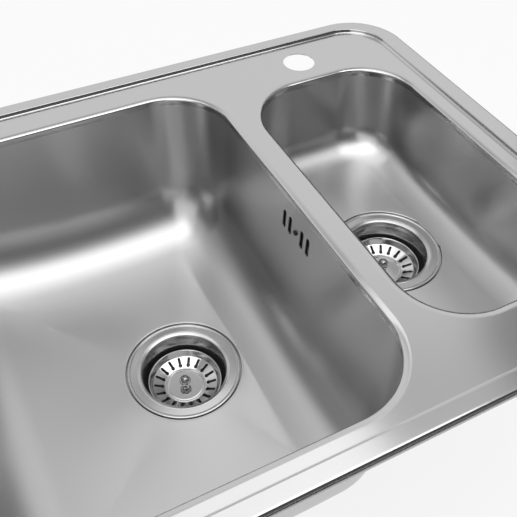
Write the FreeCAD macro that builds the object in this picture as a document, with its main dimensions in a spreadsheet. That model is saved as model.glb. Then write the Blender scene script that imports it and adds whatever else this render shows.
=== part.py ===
import FreeCAD, Part
import math
import os
import re

import Sketcher

# Inset kitchen sink with a main bowl and a half bowl.
# Millimetres. X runs along the sink towards the half bowl, Y to the back, Z up.
# The origin is the middle of the rim's seat on the worktop.

Vector = FreeCAD.Vector
doc = FreeCAD.newDocument("InsetSink")

# Driving sizes: alias, number, meaning
SIZES = [
    ("sink_length", 620, "rim, left to right"),
    ("sink_depth", 500, "rim, front to back"),
    ("rim_corner", 60, "outer corner radius of the rim"),
    ("rim_height", 8, "top of the raised band above the worktop"),
    ("band_front", 16, "raised band width along the front and back"),
    ("band_side", 20.5, "raised band width along the short sides"),
    ("deck_height", 4, "top of the deck above the worktop"),
    ("steel", 1, "sheet thickness of deck and bowls"),
    ("rim_round", 3, "outer radius of the folded rim edge"),
    ("step_inner_round", 0.2, "inside of the bend at the top of the step"),
    ("step_foot_round", 0.4, "inside of the bend at the foot of the step"),
    ("lip_round", 5, "radius of the bowl lips"),
    ("lip_skirt", 3, "straight part of the lip below its radius"),
    ("side_margin", 41, "rim to the bowl openings at the short sides"),
    ("front_margin", 33, "rim to the main opening at the front"),
    ("back_margin", 51, "rim to the main opening at the back"),
    ("partition", 28, "between the two bowl openings"),
    ("main_corner", 65, "main bowl corner radius"),
    ("main_depth", 175.5, "deck to main floor at the waste"),
    ("main_draft", 2, "main wall lean, degrees"),
    ("main_floor_round", 37, "main wall to floor radius"),
    ("main_land", 20.15, "main floor between the waste's seat and the partition's wall radius"),
    ("half_inset", 37, "half opening behind the main one, at the front and the back"),
    ("half_corner", 60, "half bowl corner radius"),
    ("half_depth", 108.5, "deck to half floor at the waste"),
    ("half_draft", 2.5, "half wall lean, degrees"),
    ("half_floor_round", 20, "half wall to floor radius"),
    ("half_land", 5.612, "half floor between the waste's seat and the wall radii"),
    ("half_drain_offset", -3, "half waste from its bowl's middle, along X"),
    ("floor_fall", 1, "fall of both floors to the waste, degrees"),
    ("tap_hole_radius", 17.5, "tap hole"),
    ("cut_over", 10, "how far cutting tools reach past what they cut"),
    ("seal_width", 9, "rim seal strip width"),
    ("pad_thickness", 3, "sound-deadening pads"),
    ("pad_edge", 12, "pad edges kept off the wall radii"),
    ("seat_clear", 1, "pressed seat round the strainer flange"),
    ("recess_depth", 3, "depth of that seat"),
    ("recess_round", 1, "edge radius of that seat"),
    ("drain_clear", 1, "hole in the bowl floor round the strainer cup"),
    ("flange_width", 13.5, "strainer flange beyond the cup"),
    ("flange_fall", 0.6, "fall of the flange towards its throat"),
    ("throat_round", 2, "inner radius where the flange turns down"),
    ("cup_radius", 43, "inside of the strainer cup"),
    ("cup_sheet", 1, "sheet thickness of the strainer cup"),
    ("cup_wall_drop", 23, "straight part of the cup wall"),
    ("cup_taper", 13, "cup bottom narrower than the cup, on the radius"),
    ("outlet_hole", 5, "holes in the cup bottom"),
    ("outlet_circle", 15, "circle of those holes"),
    ("outlet_count", 6, "number of those holes"),
    ("upper_gasket", 1.5, "gasket between flange and bowl"),
    ("lower_gasket", 3, "gasket between bowl and waste body"),
    ("gasket_gap", 1, "gasket bores clear of the cup and hole"),
    ("basket_gap", 5, "strainer basket rim inside the cup"),
    ("basket_rim_drop", 19, "basket rim below the flange"),
    ("basket_lip", 2, "flat lip of the basket rim"),
    ("basket_disc_radius", 20, "flat centre of the basket"),
    ("basket_disc_drop", 29.5, "flat centre below the flange"),
    ("basket_taper", 3, "slotted cone narrower than the basket's mouth"),
    ("basket_cone_rise", 7, "rise of the slotted cone"),
    ("basket_sheet", 0.9, "sheet thickness of the basket"),
    ("slot_count", 18, "drain slots in the basket"),
    ("slot_width", 2.5, "width of those slots"),
    ("slot_inner_land", 2, "disc to slots"),
    ("slot_outer_land", 0.5, "slots to the outer end of the cone"),
    ("knob_radius", 6, "ball of the basket knob"),
    ("knob_rise", 8.5, "ball centre above the basket"),
    ("knob_neck", 2.6, "knob neck radius"),
    ("knob_foot", 4.4, "knob foot radius"),
    ("knob_foot_height", 1.6, "knob foot height"),
    ("spigot_radius", 2, "knob spigot through the basket"),
    ("spigot_gap", 0.3, "clearance round the spigot"),
    ("spigot_length", 8, "knob spigot below the basket top"),
    ("stem_radius", 2.8, "basket stem"),
    ("stem_length", 24, "basket stem below the basket"),
    ("stem_flange_radius", 6.5, "flange of the stem"),
    ("stem_flange_thickness", 1, "flange of the stem"),
    ("stem_gap", 0.3, "stem in the clamp screw"),
    ("seal_radius", 24, "basket seal"),
    ("seal_thickness", 3, "basket seal"),
    ("seat_gap", 0.3, "seal above the cup bottom"),
    ("screw_head_radius", 7, "hollow clamp screw head"),
    ("screw_head_height", 1.6, "hollow clamp screw head"),
    ("screw_radius", 5, "hollow clamp screw shank"),
    ("screw_length", 24, "hollow clamp screw shank"),
    ("thread_gap", 0.1, "clearance drawn at threads"),
    ("nut_radius", 8, "nut moulded into the waste body"),
    ("nut_height", 10, "nut moulded into the waste body"),
    ("boss_wall", 3, "waste body boss round the nut"),
    ("body_radius", 50, "inside of the waste body"),
    ("body_wall", 2.5, "waste body wall"),
    ("body_flange_radius", 60, "waste body flange"),
    ("body_flange_thickness", 4, "waste body flange"),
    ("body_cone_start", 40, "cone top below the strainer flange"),
    ("body_cone_end", 62, "cone foot below the strainer flange"),
    ("rib_thickness", 4, "ribs that carry the boss"),
    ("rib_count", 3, "ribs that carry the boss"),
    ("outlet_bore", 20, "waste outlet bore radius"),
    ("outlet_radius", 23.9, "waste outlet thread radius"),
    ("outlet_length", 28, "waste outlet tube"),
    ("pipe_radius", 10, "overflow pipe, outside"),
    ("pipe_wall", 2, "overflow pipe wall"),
    ("pipe_bend", 20, "overflow pipe bend, on its centre line"),
    ("inlet_drop", 26, "overflow inlet below the strainer flange"),
    ("inlet_length", 14, "overflow inlet beyond the waste body"),
    ("sleeve_wall", 2.5, "rubber sleeves on the overflow pipe"),
    ("sleeve_length", 22, "rubber sleeves on the overflow pipe"),
    ("sleeve_gap", 0.2, "sleeves round the pipe"),
    ("overflow_drop", 33.5, "overflow slots' centre below the deck"),
    ("overflow_slot_length", 21, "overflow slots"),
    ("overflow_slot_width", 5.8, "overflow slots"),
    ("overflow_pitch", 10.8, "overflow slots and screw"),
    ("overflow_gasket", 2, "overflow gasket"),
    ("housing_width", 64, "overflow housing along Y"),
    ("housing_height", 40, "overflow housing along Z"),
    ("housing_wall", 2.5, "overflow housing wall"),
    ("housing_gap", 2, "housing clear of the half bowl"),
    ("housing_spout", 16, "spout under the overflow housing"),
    ("overflow_screw_radius", 1.9, "overflow screw shank"),
    ("overflow_screw_gap", 0.3, "clearance round that screw"),
    ("overflow_head_radius", 2.6, "overflow screw head"),
    ("overflow_head_height", 1.2, "overflow screw head"),
    ("clip_spread", 165, "front and back clips from the middle"),
    ("clip_inset_front", 23, "clip axis from the rim, front and back"),
    ("clip_inset_side", 28, "clip axis from the rim, short sides"),
    ("clip_plate_width", 10, "weld plate across the rim"),
    ("clip_plate_length", 30, "weld plate along the rim"),
    ("clip_plate_thickness", 1.5, "weld plate"),
    ("clip_boss_radius", 5, "threaded boss"),
    ("clip_boss_length", 22, "threaded boss below its plate"),
    ("clip_screw_radius", 2.5, "clip screw shank"),
    ("clip_screw_gap", 0.3, "clip screw in its boss and claw"),
    ("clip_screw_top", 12, "clip screw tip below the worktop top"),
    ("clip_head_radius", 4.6, "clip screw head"),
    ("clip_head_height", 4, "clip screw head"),
    ("worktop_most", 40, "thickest worktop that the claws reach under"),
    ("claw_reach", 21, "claw tip from the screw"),
    ("claw_width", 12, "claw"),
    ("claw_sheet", 2.5, "claw"),
    ("claw_tip", 10, "claw tip above its plate"),
    ("claw_seat_gap", 0.3, "claw above the screw head"),
]

# Places worked out from the driving sizes: alias, formula, meaning
PLACES = [
    ("main_lean", "(main_depth - lip_round - lip_skirt) * tan(main_draft)", "over its depth"),
    ("half_lean", "(half_depth - lip_round - lip_skirt) * tan(half_draft)", "over its depth"),
    ("half_width", "2 * (recess_radius + half_land + half_floor_round + half_lean)", "opening along X"),
    ("half_length", "main_length - 2 * half_inset", "opening along Y"),
    ("main_width", "sink_length - 2 * side_margin - partition - half_width", "opening along X"),
    ("main_length", "sink_depth - front_margin - back_margin", "opening along Y"),
    ("main_x", "side_margin + main_width / 2 - sink_length / 2", "main bowl middle"),
    ("half_x", "sink_length / 2 - side_margin - half_width / 2", "half bowl middle"),
    ("bowls_y", "(front_margin - back_margin) / 2", "bowls' middle"),
    ("main_drain_side", "recess_radius + main_land + main_floor_round + main_lean", "waste to opening"),
    ("main_drain_offset", "main_width / 2 - main_drain_side", "main waste from its bowl's middle"),
    ("seam", "deck_height - lip_round - lip_skirt", "weld between lips and bowls"),
    ("skirt_length", "lip_round + lip_skirt - steel", "lip below the deck sheet"),
    ("deck_under", "deck_height - steel", "underside of the deck sheet"),
    ("band_under", "rim_height - steel", "underside of the raised band"),
    ("step_depth", "rim_height - deck_height", "drop from band to deck"),
    ("fold_length", "sink_length - 2 * steel", "inside of the folded edge"),
    ("fold_depth", "sink_depth - 2 * steel", "inside of the folded edge"),
    ("fold_corner", "rim_corner - steel", "inside of the folded edge"),
    ("fold_round", "rim_round - steel", "inner radius of the folded edge"),
    ("step_length", "sink_length - 2 * band_side", "step, at deck level"),
    ("step_width", "sink_depth - 2 * band_front", "step, at deck level"),
    ("step_corner", "rim_corner - band_front", "step, at deck level"),
    ("step_back_length", "step_length + 2 * steel", "step sheet, outer face"),
    ("step_back_width", "step_width + 2 * steel", "step sheet, outer face"),
    ("step_back_corner", "step_corner + steel", "step sheet, outer face"),
    ("step_top_round", "step_inner_round + steel", "outside of the bend at the top of the step"),
    ("step_outer_round", "step_foot_round + steel", "outside of the bend at the foot of the step"),
    ("lip_inner_round", "lip_round - steel", "lip sheet, small radius"),
    ("tap_hole_y", "(bowls_y + half_length / 2 + step_width / 2) / 2", "between bowl and step"),
    ("seal_outer_length", "sink_length - 2 * rim_round", "rim seal"),
    ("seal_outer_depth", "sink_depth - 2 * rim_round", "rim seal"),
    ("seal_outer_corner", "rim_corner - rim_round", "rim seal"),
    ("seal_inner_length", "seal_outer_length - 2 * seal_width", "rim seal"),
    ("seal_inner_depth", "seal_outer_depth - 2 * seal_width", "rim seal"),
    ("seal_inner_corner", "seal_outer_corner - seal_width", "rim seal"),
    ("main_drain_x", "main_x + main_drain_offset", "main waste axis"),
    ("half_drain_x", "half_x + half_drain_offset", "half waste axis"),
    ("flange_drop", "recess_depth - upper_gasket - cup_sheet", "flange below the floor"),
    ("main_floor", "deck_height - main_depth", "main floor at the waste"),
    ("half_floor", "deck_height - half_depth", "half floor at the waste"),
    ("main_flange", "main_floor - flange_drop", "top of the main strainer flange"),
    ("half_flange", "half_floor - flange_drop", "top of the half strainer flange"),
    ("cup_outer_radius", "cup_radius + cup_sheet", "outside of the cup"),
    ("cup_floor_radius", "cup_radius - cup_taper", "flat bottom of the cup"),
    ("cup_outer_floor_radius", "cup_floor_radius + cup_sheet / 2", "outside of the cup"),
    ("flange_radius", "cup_outer_radius + flange_width", "strainer flange"),
    ("recess_radius", "flange_radius + seat_clear", "pressed seat for the strainer flange"),
    ("drain_radius", "cup_outer_radius + drain_clear", "hole in the bowl floor"),
    ("flange_under", "-cup_sheet", "underside of the flange"),
    ("throat_top", "-flange_fall", "flange at its throat"),
    ("throat_under", "flange_under - flange_slope * (flange_radius - cup_outer_radius)", "at its throat"),
    ("throat_outer_round", "throat_round + cup_sheet", "outer radius where the flange turns down"),
    ("flange_gasket_bore", "drain_radius + throat_round + gasket_gap", "upper gasket"),
    ("flange_slope", "flange_fall / (flange_radius - cup_radius)", "slope of the flange"),
    ("flange_gasket_top", "gasket_top - flange_slope * (flange_radius - flange_gasket_bore)", "upper gasket"),
    ("cup_wall_end", "-cup_wall_drop", "foot of the straight wall"),
    ("basket_rim_radius", "cup_radius - basket_gap", "basket rim"),
    ("basket_rim", "-basket_rim_drop", "basket rim"),
    ("basket_rim_under", "basket_rim - basket_sheet", "basket rim"),
    ("basket_wall", "basket_rim_radius - basket_lip", "basket wall at the rim"),
    ("basket_wall_out", "basket_wall + basket_sheet", "basket wall at the rim"),
    ("basket_disc", "-basket_disc_drop", "basket centre"),
    ("basket_disc_under", "basket_disc - basket_sheet", "basket centre"),
    ("basket_cone_radius", "basket_wall - basket_taper", "slotted cone, outer end"),
    ("basket_cone", "basket_disc + basket_cone_rise", "slotted cone, outer end"),
    ("basket_cone_under", "basket_cone - basket_sheet / 2", "slotted cone, outer end"),
    ("basket_cone_out", "basket_cone_radius + basket_sheet", "slotted cone, outer end"),
    ("basket_hole", "spigot_radius + spigot_gap", "hole for the knob's spigot"),
    ("knob_ball", "basket_disc + knob_rise", "knob ball centre"),
    ("knob_foot_top", "basket_disc + knob_foot_height", "knob foot"),
    ("knob_spigot", "basket_disc - spigot_length", "end of the knob's spigot"),
    ("stem_flange_under", "basket_disc_under - stem_flange_thickness", "stem"),
    ("stem_socket", "knob_spigot - spigot_gap", "stem socket for the spigot"),
    ("stem_end", "basket_disc_under - stem_length", "stem"),
    ("seal_bore", "stem_flange_radius + gasket_gap", "basket seal"),
    ("seal_under", "basket_disc_under - seal_thickness", "basket seal"),
    ("cup_floor", "seal_under - seat_gap", "inside of the cup bottom"),
    ("cup_floor_under", "cup_floor - cup_sheet", "underside of the cup bottom"),
    ("hub_hole", "screw_radius + spigot_gap", "cup hole for the clamp screw"),
    ("screw_bore", "stem_radius + stem_gap", "bore of the clamp screw"),
    ("screw_top", "cup_floor + screw_head_height", "clamp screw"),
    ("screw_end", "cup_floor - screw_length", "clamp screw"),
    ("gasket_top", "-cup_sheet", "upper gasket"),
    ("gasket_under", "gasket_top - upper_gasket", "upper gasket, on the recess"),
    ("gasket_bore", "drain_radius + gasket_gap", "lower gasket"),
    ("bowl_under", "gasket_under - steel", "underside of the bowl's recess"),
    ("body_top", "bowl_under - lower_gasket", "waste body flange"),
    ("body_flange_under", "body_top - body_flange_thickness", "waste body flange"),
    ("body_outer", "body_radius + body_wall", "waste body"),
    ("cone_top", "-body_cone_start", "waste body"),
    ("cone_foot", "-body_cone_end", "waste body"),
    ("outlet_end", "cone_foot - outlet_length", "waste outlet"),
    ("nut_top", "nut_foot + nut_height", "moulded-in nut"),
    ("nut_foot", "screw_end", "moulded-in nut"),
    ("nut_bore", "screw_radius + thread_gap", "moulded-in nut"),
    ("boss_radius", "nut_radius + boss_wall", "waste body boss"),
    ("rib_outer_top", "body_radius + body_wall / 2", "rib, buried in the wall"),
    ("rib_outer_foot", "outlet_bore + body_wall / 2", "rib, buried in the wall"),
    ("inlet_level", "-inlet_drop", "overflow inlet"),
    ("inlet_reach", "inlet_length + body_wall / 2", "overflow inlet"),
    ("inlet_start", "body_radius + body_wall / 2", "overflow inlet"),
    ("inlet_end", "inlet_start + inlet_reach", "overflow inlet"),
    ("inlet_cut", "inlet_reach + body_wall + cut_over", "overflow inlet bore"),
    ("pipe_bore", "pipe_radius - pipe_wall", "overflow pipe"),
    ("main_right", "main_x + main_width / 2", "main bowl's right edge"),
    ("half_left", "half_x - half_width / 2", "half bowl's left edge"),
    ("pipe_x", "(main_right + half_left) / 2 + overflow_gasket / 2", "upright overflow pipe"),
    ("pipe_start", "main_drain_x + inlet_end", "pipe at the waste body"),
    ("pipe_level", "main_flange - inlet_drop", "lower run of the pipe"),
    ("pipe_bend_x", "pipe_x - pipe_bend", "start of the bend"),
    ("pipe_bend_z", "pipe_level + pipe_bend", "end of the bend"),
    ("overflow_level", "deck_height - overflow_drop", "overflow slots' centre"),
    ("housing_top", "overflow_level + housing_height / 2", "overflow housing"),
    ("housing_foot", "overflow_level - housing_height / 2", "overflow housing"),
    ("wall_at_top", "main_right + steel - (seam - housing_top) * tan(main_draft)", "wall face"),
    ("wall_at_foot", "main_right + steel - (seam - housing_foot) * tan(main_draft)", "wall face"),
    ("wall_at_screw", "main_right - (seam - overflow_level) * tan(main_draft)", "wall face"),
    ("gasket_at_top", "wall_at_top + overflow_gasket", "gasket face"),
    ("gasket_at_foot", "wall_at_foot + overflow_gasket", "gasket face"),
    ("housing_back", "half_left - steel - housing_gap", "overflow housing"),
    ("housing_floor_back", "housing_back - housing_wall", "inside of the housing"),
    ("housing_inner_width", "housing_width - 2 * housing_wall", "inside of the housing"),
    ("housing_inner_top", "housing_top - housing_wall", "inside of the housing"),
    ("housing_inner_foot", "housing_foot + housing_wall", "inside of the housing"),
    ("spout_cut", "housing_spout + housing_wall + cut_over", "bore of the housing spout"),
    ("spout_end", "housing_foot - housing_spout", "end of the housing spout"),
    ("post_radius", "overflow_screw_radius + thread_gap + housing_wall", "screw post"),
    ("post_bore", "overflow_screw_radius + thread_gap", "screw post"),
    ("wall_screw_hole", "overflow_screw_radius + overflow_screw_gap", "wall and gasket"),
    ("overflow_screw_tip", "housing_floor_back - overflow_gasket", "end of the screw"),
    ("sleeve_bore", "pipe_radius + sleeve_gap", "rubber sleeves"),
    ("sleeve_radius", "sleeve_bore + sleeve_wall", "rubber sleeves"),
    ("lower_sleeve_start", "pipe_start - sleeve_length / 2", "rubber sleeves"),
    ("upper_sleeve_start", "spout_end - sleeve_length / 2", "rubber sleeves"),
    ("clip_front_y", "clip_inset_front - sink_depth / 2", "front clips"),
    ("clip_back_y", "sink_depth / 2 - clip_inset_front", "back clips"),
    ("clip_right_x", "sink_length / 2 - clip_inset_side", "right clip"),
    ("clip_left_x", "clip_inset_side - sink_length / 2", "left clip"),
    ("clip_left_spread", "-clip_spread", "left clips of a pair"),
    ("clip_plate_under", "deck_under - clip_plate_thickness", "weld plate"),
    ("clip_boss_end", "clip_plate_under - clip_boss_length", "threaded boss"),
    ("clip_bore", "clip_screw_radius + clip_screw_gap", "threaded boss and claw"),
    ("clip_screw_tip", "-clip_screw_top", "clip screw"),
    ("claw_top", "-worktop_most", "claw tip"),
    ("claw_plate_top", "claw_top - claw_tip", "claw plate"),
    ("claw_under", "claw_plate_top - claw_sheet", "claw plate"),
    ("clip_head_top", "claw_under - claw_seat_gap", "clip screw head"),
    ("clip_head_under", "clip_head_top - clip_head_height", "clip screw head"),
    ("claw_length", "claw_reach + claw_width / 2", "claw plate"),
    ("claw_middle", "claw_reach / 2 - claw_width / 4", "claw plate"),
    ("claw_tip_middle", "claw_reach - claw_sheet / 2", "claw tip"),
    ("claw_height", "claw_tip + claw_sheet", "claw tip with its plate"),
    ("clip_bore_depth", "clip_boss_length + clip_plate_thickness", "through boss and plate"),
    ("recess_outer", "recess_radius + steel", "flange seat, outside"),
    ("drain_reach", "recess_depth + steel + 2 * cut_over", "hole in the bowl floor"),
    ("cone_reach", "sink_length", "cone that shapes the floors, past every corner"),
    ("cone_rise", "cone_reach * tan(floor_fall)", "cone that shapes the floors"),
    ("recess_rise", "recess_radius * tan(floor_fall)", "floor at the seat above the cone's point"),
    ("overflow_cut_start", "main_width / 2 - cut_over", "slots, from the bowl's middle"),
    ("overflow_cut", "2 * cut_over", "slots through wall and gasket"),
    ("gasket_cut_start", "gasket_at_top + cut_over / 2", "slots through the gasket"),
    ("slot_start", "basket_disc_radius + slot_inner_land", "basket slots"),
    ("slot_end", "basket_cone_radius - slot_outer_land", "basket slots"),
    ("slot_middle", "(slot_start + slot_end) / 2", "basket slots"),
    ("slot_reach", "slot_end - slot_start", "basket slots"),
    ("post_start", "wall_at_screw + steel + overflow_gasket + seat_gap", "screw post"),
    ("post_length", "housing_back - housing_wall / 2 - post_start", "screw post"),
    ("post_depth", "overflow_screw_tip + thread_gap - post_start", "screw post"),
    ("screw_head_start", "wall_at_screw - overflow_head_height - thread_gap", "overflow screw"),
    ("overflow_screw_length", "overflow_screw_tip - screw_head_start", "overflow screw"),
    ("pad_top", "seam - pad_edge", "top of the pads"),
    ("main_left", "main_x - main_width / 2", "main bowl's left edge"),
    ("half_right", "half_x + half_width / 2", "half bowl's right edge"),
    ("main_back", "bowls_y + main_length / 2", "main bowl's back edge"),
    ("main_pad_foot", "main_floor + main_floor_round + pad_edge", "foot of the main pads"),
    ("half_pad_foot", "half_floor + half_floor_round + pad_edge", "foot of the half pad"),
    ("main_pad_height", "(pad_top - main_pad_foot) / cos(main_draft)", "along the wall"),
    ("half_pad_height", "(pad_top - half_pad_foot) / cos(half_draft)", "along the wall"),
    ("main_pad_lean", "(seam - main_pad_foot) * tan(main_draft) - steel", "wall face from the edge"),
    ("half_pad_lean", "(seam - half_pad_foot) * tan(half_draft) - steel", "wall face from the edge"),
    ("left_pad_x", "main_left + main_pad_lean", "left pad, on the wall"),
    ("back_pad_y", "main_back - main_pad_lean", "back pad, on the wall"),
    ("right_pad_x", "half_right - half_pad_lean", "right pad, on the wall"),
    ("left_pad_length", "main_length - 2 * (main_corner + pad_edge)", "left pad"),
    ("back_pad_length", "main_width - 2 * (main_corner + pad_edge)", "back pad"),
    ("right_pad_length", "half_length - 2 * (half_corner + pad_edge)", "right pad"),
    ("left_pad_y", "bowls_y - left_pad_length / 2", "left pad"),
    ("back_pad_x", "main_x - back_pad_length / 2", "back pad"),
    ("right_pad_y", "bowls_y + right_pad_length / 2", "right pad"),
]

# The same places for each bowl
for bowl in ("main", "half"):
    PLACES += [
        (f"{bowl}_outer_width", f"{bowl}_width + 2 * steel", "outside of the bowl"),
        (f"{bowl}_outer_length", f"{bowl}_length + 2 * steel", "outside of the bowl"),
        (f"{bowl}_outer_corner", f"{bowl}_corner + steel", "outside of the bowl"),
        (f"{bowl}_outer_floor_round", f"{bowl}_floor_round + steel", "outside of the bowl"),
        (f"{bowl}_apex", f"{bowl}_floor - recess_rise", "point of the floor's cone"),
        (f"{bowl}_apex_rise", f"{bowl}_apex + cone_rise", "edge of the floor's cone"),
        (f"{bowl}_outer_apex", f"{bowl}_apex - steel", "underside of the floor"),
        (f"{bowl}_outer_apex_rise", f"{bowl}_outer_apex + cone_rise", "underside of the floor"),
        (f"{bowl}_recess", f"{bowl}_floor - recess_depth", "flange seat"),
        (f"{bowl}_recess_under", f"{bowl}_recess - steel", "underside of the flange seat"),
        (f"{bowl}_drain_foot", f"{bowl}_recess_under - cut_over", "hole in the floor"),
        (f"{bowl}_block", f"seam - {bowl}_drain_foot", "block that the bowl is cut from"),
        (f"{bowl}_below", f"{bowl}_drain_foot - cut_over", "below that block"),
    ]

SHEET_OF = {name: "Sizes." for name, number, note in SIZES}
SHEET_OF.update({name: "Places." for name, formula, note in PLACES})


def link(expression):
    """Prefix each size in an expression with the sheet that holds it."""
    return re.sub(r"[a-z_]+", lambda word: SHEET_OF.get(word.group(), "") + word.group(), expression)


def fill_sheets():
    """Write the driving sizes and the worked-out places into two spreadsheets."""
    sizes = doc.addObject("Spreadsheet::Sheet", "Sizes")
    places = doc.addObject("Spreadsheet::Sheet", "Places")
    for row, (name, number, note) in enumerate(SIZES, start=1):
        sizes.set(f"A{row}", note)
        sizes.set(f"B{row}", str(number))
        sizes.setAlias(f"B{row}", name)
    for row, (name, formula, note) in enumerate(PLACES, start=1):
        places.set(f"A{row}", note)
        places.setAlias(f"B{row}", name)
    doc.recompute()
    for row, (name, formula, note) in enumerate(PLACES, start=1):
        own = link(formula).replace("Places.", "")
        places.set(f"B{row}", "=" + own)
    doc.recompute()
    return sizes, places


SIZES_SHEET, PLACES_SHEET = fill_sheets()


def size(name):
    """The number behind a size's name."""
    holder = SIZES_SHEET if SHEET_OF[name] == "Sizes." else PLACES_SHEET
    return float(holder.get(name))


def bind(thing, path, name):
    """Tie one property of a document object to a size."""
    thing.setExpression(path, link(name))


def new_body(label):
    body = doc.addObject("PartDesign::Body", label)
    body.Label = label
    return body


def place(body, x=None, y=None, z=None, turn=0):
    """Put a body at named places, turned about the upright axis."""
    body.Placement = FreeCAD.Placement(Vector(), FreeCAD.Rotation(Vector(0, 0, 1), turn))
    for axis, name in (("x", x), ("y", y), ("z", z)):
        if name:
            bind(body, f"Placement.Base.{axis}", name)


def origin_feature(body, role):
    """One of the body's own planes or axes."""
    return next(feature for feature in body.Origin.OriginFeatures if feature.Role == role)


def new_sketch(body, name, role="XY_Plane", right=None, up=None, out=None):
    """A sketch on one of the body's origin planes, moved by named distances in the plane and out of it."""
    sketch = body.newObject("Sketcher::SketchObject", f"{body.Name}_{name}")
    sketch.AttachmentSupport = [(origin_feature(body, role), "")]
    sketch.MapMode = "FlatFace"
    for axis, place_name in (("x", right), ("y", up), ("z", out)):
        if place_name:
            bind(sketch, f"AttachmentOffset.Base.{axis}", place_name)
    return sketch


def measure(sketch, kind, parts, name):
    """A dimension of a sketch, tied to a size."""
    index = sketch.addConstraint(Sketcher.Constraint(kind, *parts, size(name)))
    bind(sketch, f"Constraints[{index}]", name)


def add_circle(sketch, radius):
    circle = sketch.addGeometry(Part.Circle(Vector(), Vector(0, 0, 1), size(radius)), False)
    sketch.addConstraint(Sketcher.Constraint("Coincident", circle, 3, -1, 1))
    measure(sketch, "Radius", (circle,), radius)


def add_rounded_rectangle(sketch, width, length, corner):
    """A rectangle with round corners about the sketch's origin."""
    w, d, r = size(width) / 2, size(length) / 2, size(corner)
    arcs = []
    for x, y, start in ((w - r, r - d, -90), (w - r, d - r, 0), (r - w, d - r, 90), (r - w, r - d, 180)):
        circle = Part.Circle(Vector(x, y, 0), Vector(0, 0, 1), r)
        arc = Part.ArcOfCircle(circle, math.radians(start), math.radians(start + 90))
        arcs.append(sketch.addGeometry(arc, False))
    ends = (
        (Vector(w, r - d, 0), Vector(w, d - r, 0)),
        (Vector(w - r, d, 0), Vector(r - w, d, 0)),
        (Vector(-w, d - r, 0), Vector(-w, r - d, 0)),
        (Vector(r - w, -d, 0), Vector(w - r, -d, 0)),
    )
    lines = [sketch.addGeometry(Part.LineSegment(*pair), False) for pair in ends]
    for i, way in enumerate(("Vertical", "Horizontal", "Vertical", "Horizontal")):
        sketch.addConstraint(Sketcher.Constraint("Tangent", arcs[i], 2, lines[i], 1))
        sketch.addConstraint(Sketcher.Constraint("Tangent", lines[i], 2, arcs[(i + 1) % 4], 1))
        sketch.addConstraint(Sketcher.Constraint(way, lines[i]))
    for i in range(3):
        sketch.addConstraint(Sketcher.Constraint("Equal", arcs[i], arcs[i + 1]))
    sketch.addConstraint(Sketcher.Constraint("Symmetric", arcs[0], 3, arcs[2], 3, -1, 1))
    measure(sketch, "DistanceX", (lines[2], 1, lines[0], 1), width)
    measure(sketch, "DistanceY", (lines[3], 1, lines[1], 1), length)
    measure(sketch, "Radius", (arcs[0],), corner)


def add_rectangle(sketch, width, length):
    """A plain rectangle about the sketch's origin."""
    w, d = size(width) / 2, size(length) / 2
    corners = [Vector(-w, -d, 0), Vector(w, -d, 0), Vector(w, d, 0), Vector(-w, d, 0)]
    lines = [sketch.addGeometry(Part.LineSegment(corners[i], corners[(i + 1) % 4]), False) for i in range(4)]
    for i, way in enumerate(("Horizontal", "Vertical", "Horizontal", "Vertical")):
        sketch.addConstraint(Sketcher.Constraint("Coincident", lines[i], 2, lines[(i + 1) % 4], 1))
        sketch.addConstraint(Sketcher.Constraint(way, lines[i]))
    sketch.addConstraint(Sketcher.Constraint("Symmetric", lines[0], 1, lines[2], 1, -1, 1))
    measure(sketch, "DistanceX", (lines[0], 1, lines[0], 2), width)
    measure(sketch, "DistanceY", (lines[1], 1, lines[1], 2), length)


def add_outline(sketch, points):
    """A closed outline of straight lines through (across, up) points, each a size's name or 0."""
    spots = [Vector(size(x) if x else 0, size(y) if y else 0, 0) for x, y in points]
    count = len(spots)
    lines = []
    for i in range(count):
        segment = Part.LineSegment(spots[i], spots[(i + 1) % count])
        lines.append(sketch.addGeometry(segment, False))
    for i, (x, y) in enumerate(points):
        sketch.addConstraint(Sketcher.Constraint("Coincident", lines[i], 2, lines[(i + 1) % count], 1))
        for kind, name in (("DistanceX", x), ("DistanceY", y)):
            if name:
                measure(sketch, kind, (-1, 1, lines[i], 1), name)
            else:
                sketch.addConstraint(Sketcher.Constraint(kind, -1, 1, lines[i], 1, 0.0))


def add_slot(sketch, middle, factor, length, width):
    """An upright slot with round ends, its middle a number of pitches across from the sketch's origin."""
    across, radius = factor * size(middle), size(width) / 2
    reach = size(length) / 2 - radius
    top = Part.Circle(Vector(across, reach, 0), Vector(0, 0, 1), radius)
    foot = Part.Circle(Vector(across, -reach, 0), Vector(0, 0, 1), radius)
    upper = sketch.addGeometry(Part.ArcOfCircle(top, 0, math.pi), False)
    lower = sketch.addGeometry(Part.ArcOfCircle(foot, math.pi, 2 * math.pi), False)
    left_ends = Vector(across - radius, reach, 0), Vector(across - radius, -reach, 0)
    right_ends = Vector(across + radius, -reach, 0), Vector(across + radius, reach, 0)
    left = sketch.addGeometry(Part.LineSegment(*left_ends), False)
    right = sketch.addGeometry(Part.LineSegment(*right_ends), False)
    for first, second in ((upper, left), (left, lower), (lower, right), (right, upper)):
        sketch.addConstraint(Sketcher.Constraint("Tangent", first, 2, second, 1))
    sketch.addConstraint(Sketcher.Constraint("Vertical", left))
    sketch.addConstraint(Sketcher.Constraint("Symmetric", upper, 3, lower, 3, -1))
    index = sketch.addConstraint(Sketcher.Constraint("DistanceX", -1, 1, upper, 3, across))
    sketch.setExpression(f"Constraints[{index}]", f"{factor} * {link(middle)}")
    index = sketch.addConstraint(Sketcher.Constraint("DistanceY", lower, 3, upper, 3, 2 * reach))
    sketch.setExpression(f"Constraints[{index}]", f"{link(length)} - {link(width)}")
    index = sketch.addConstraint(Sketcher.Constraint("Radius", upper, radius))
    sketch.setExpression(f"Constraints[{index}]", f"{link(width)} / 2")


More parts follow.
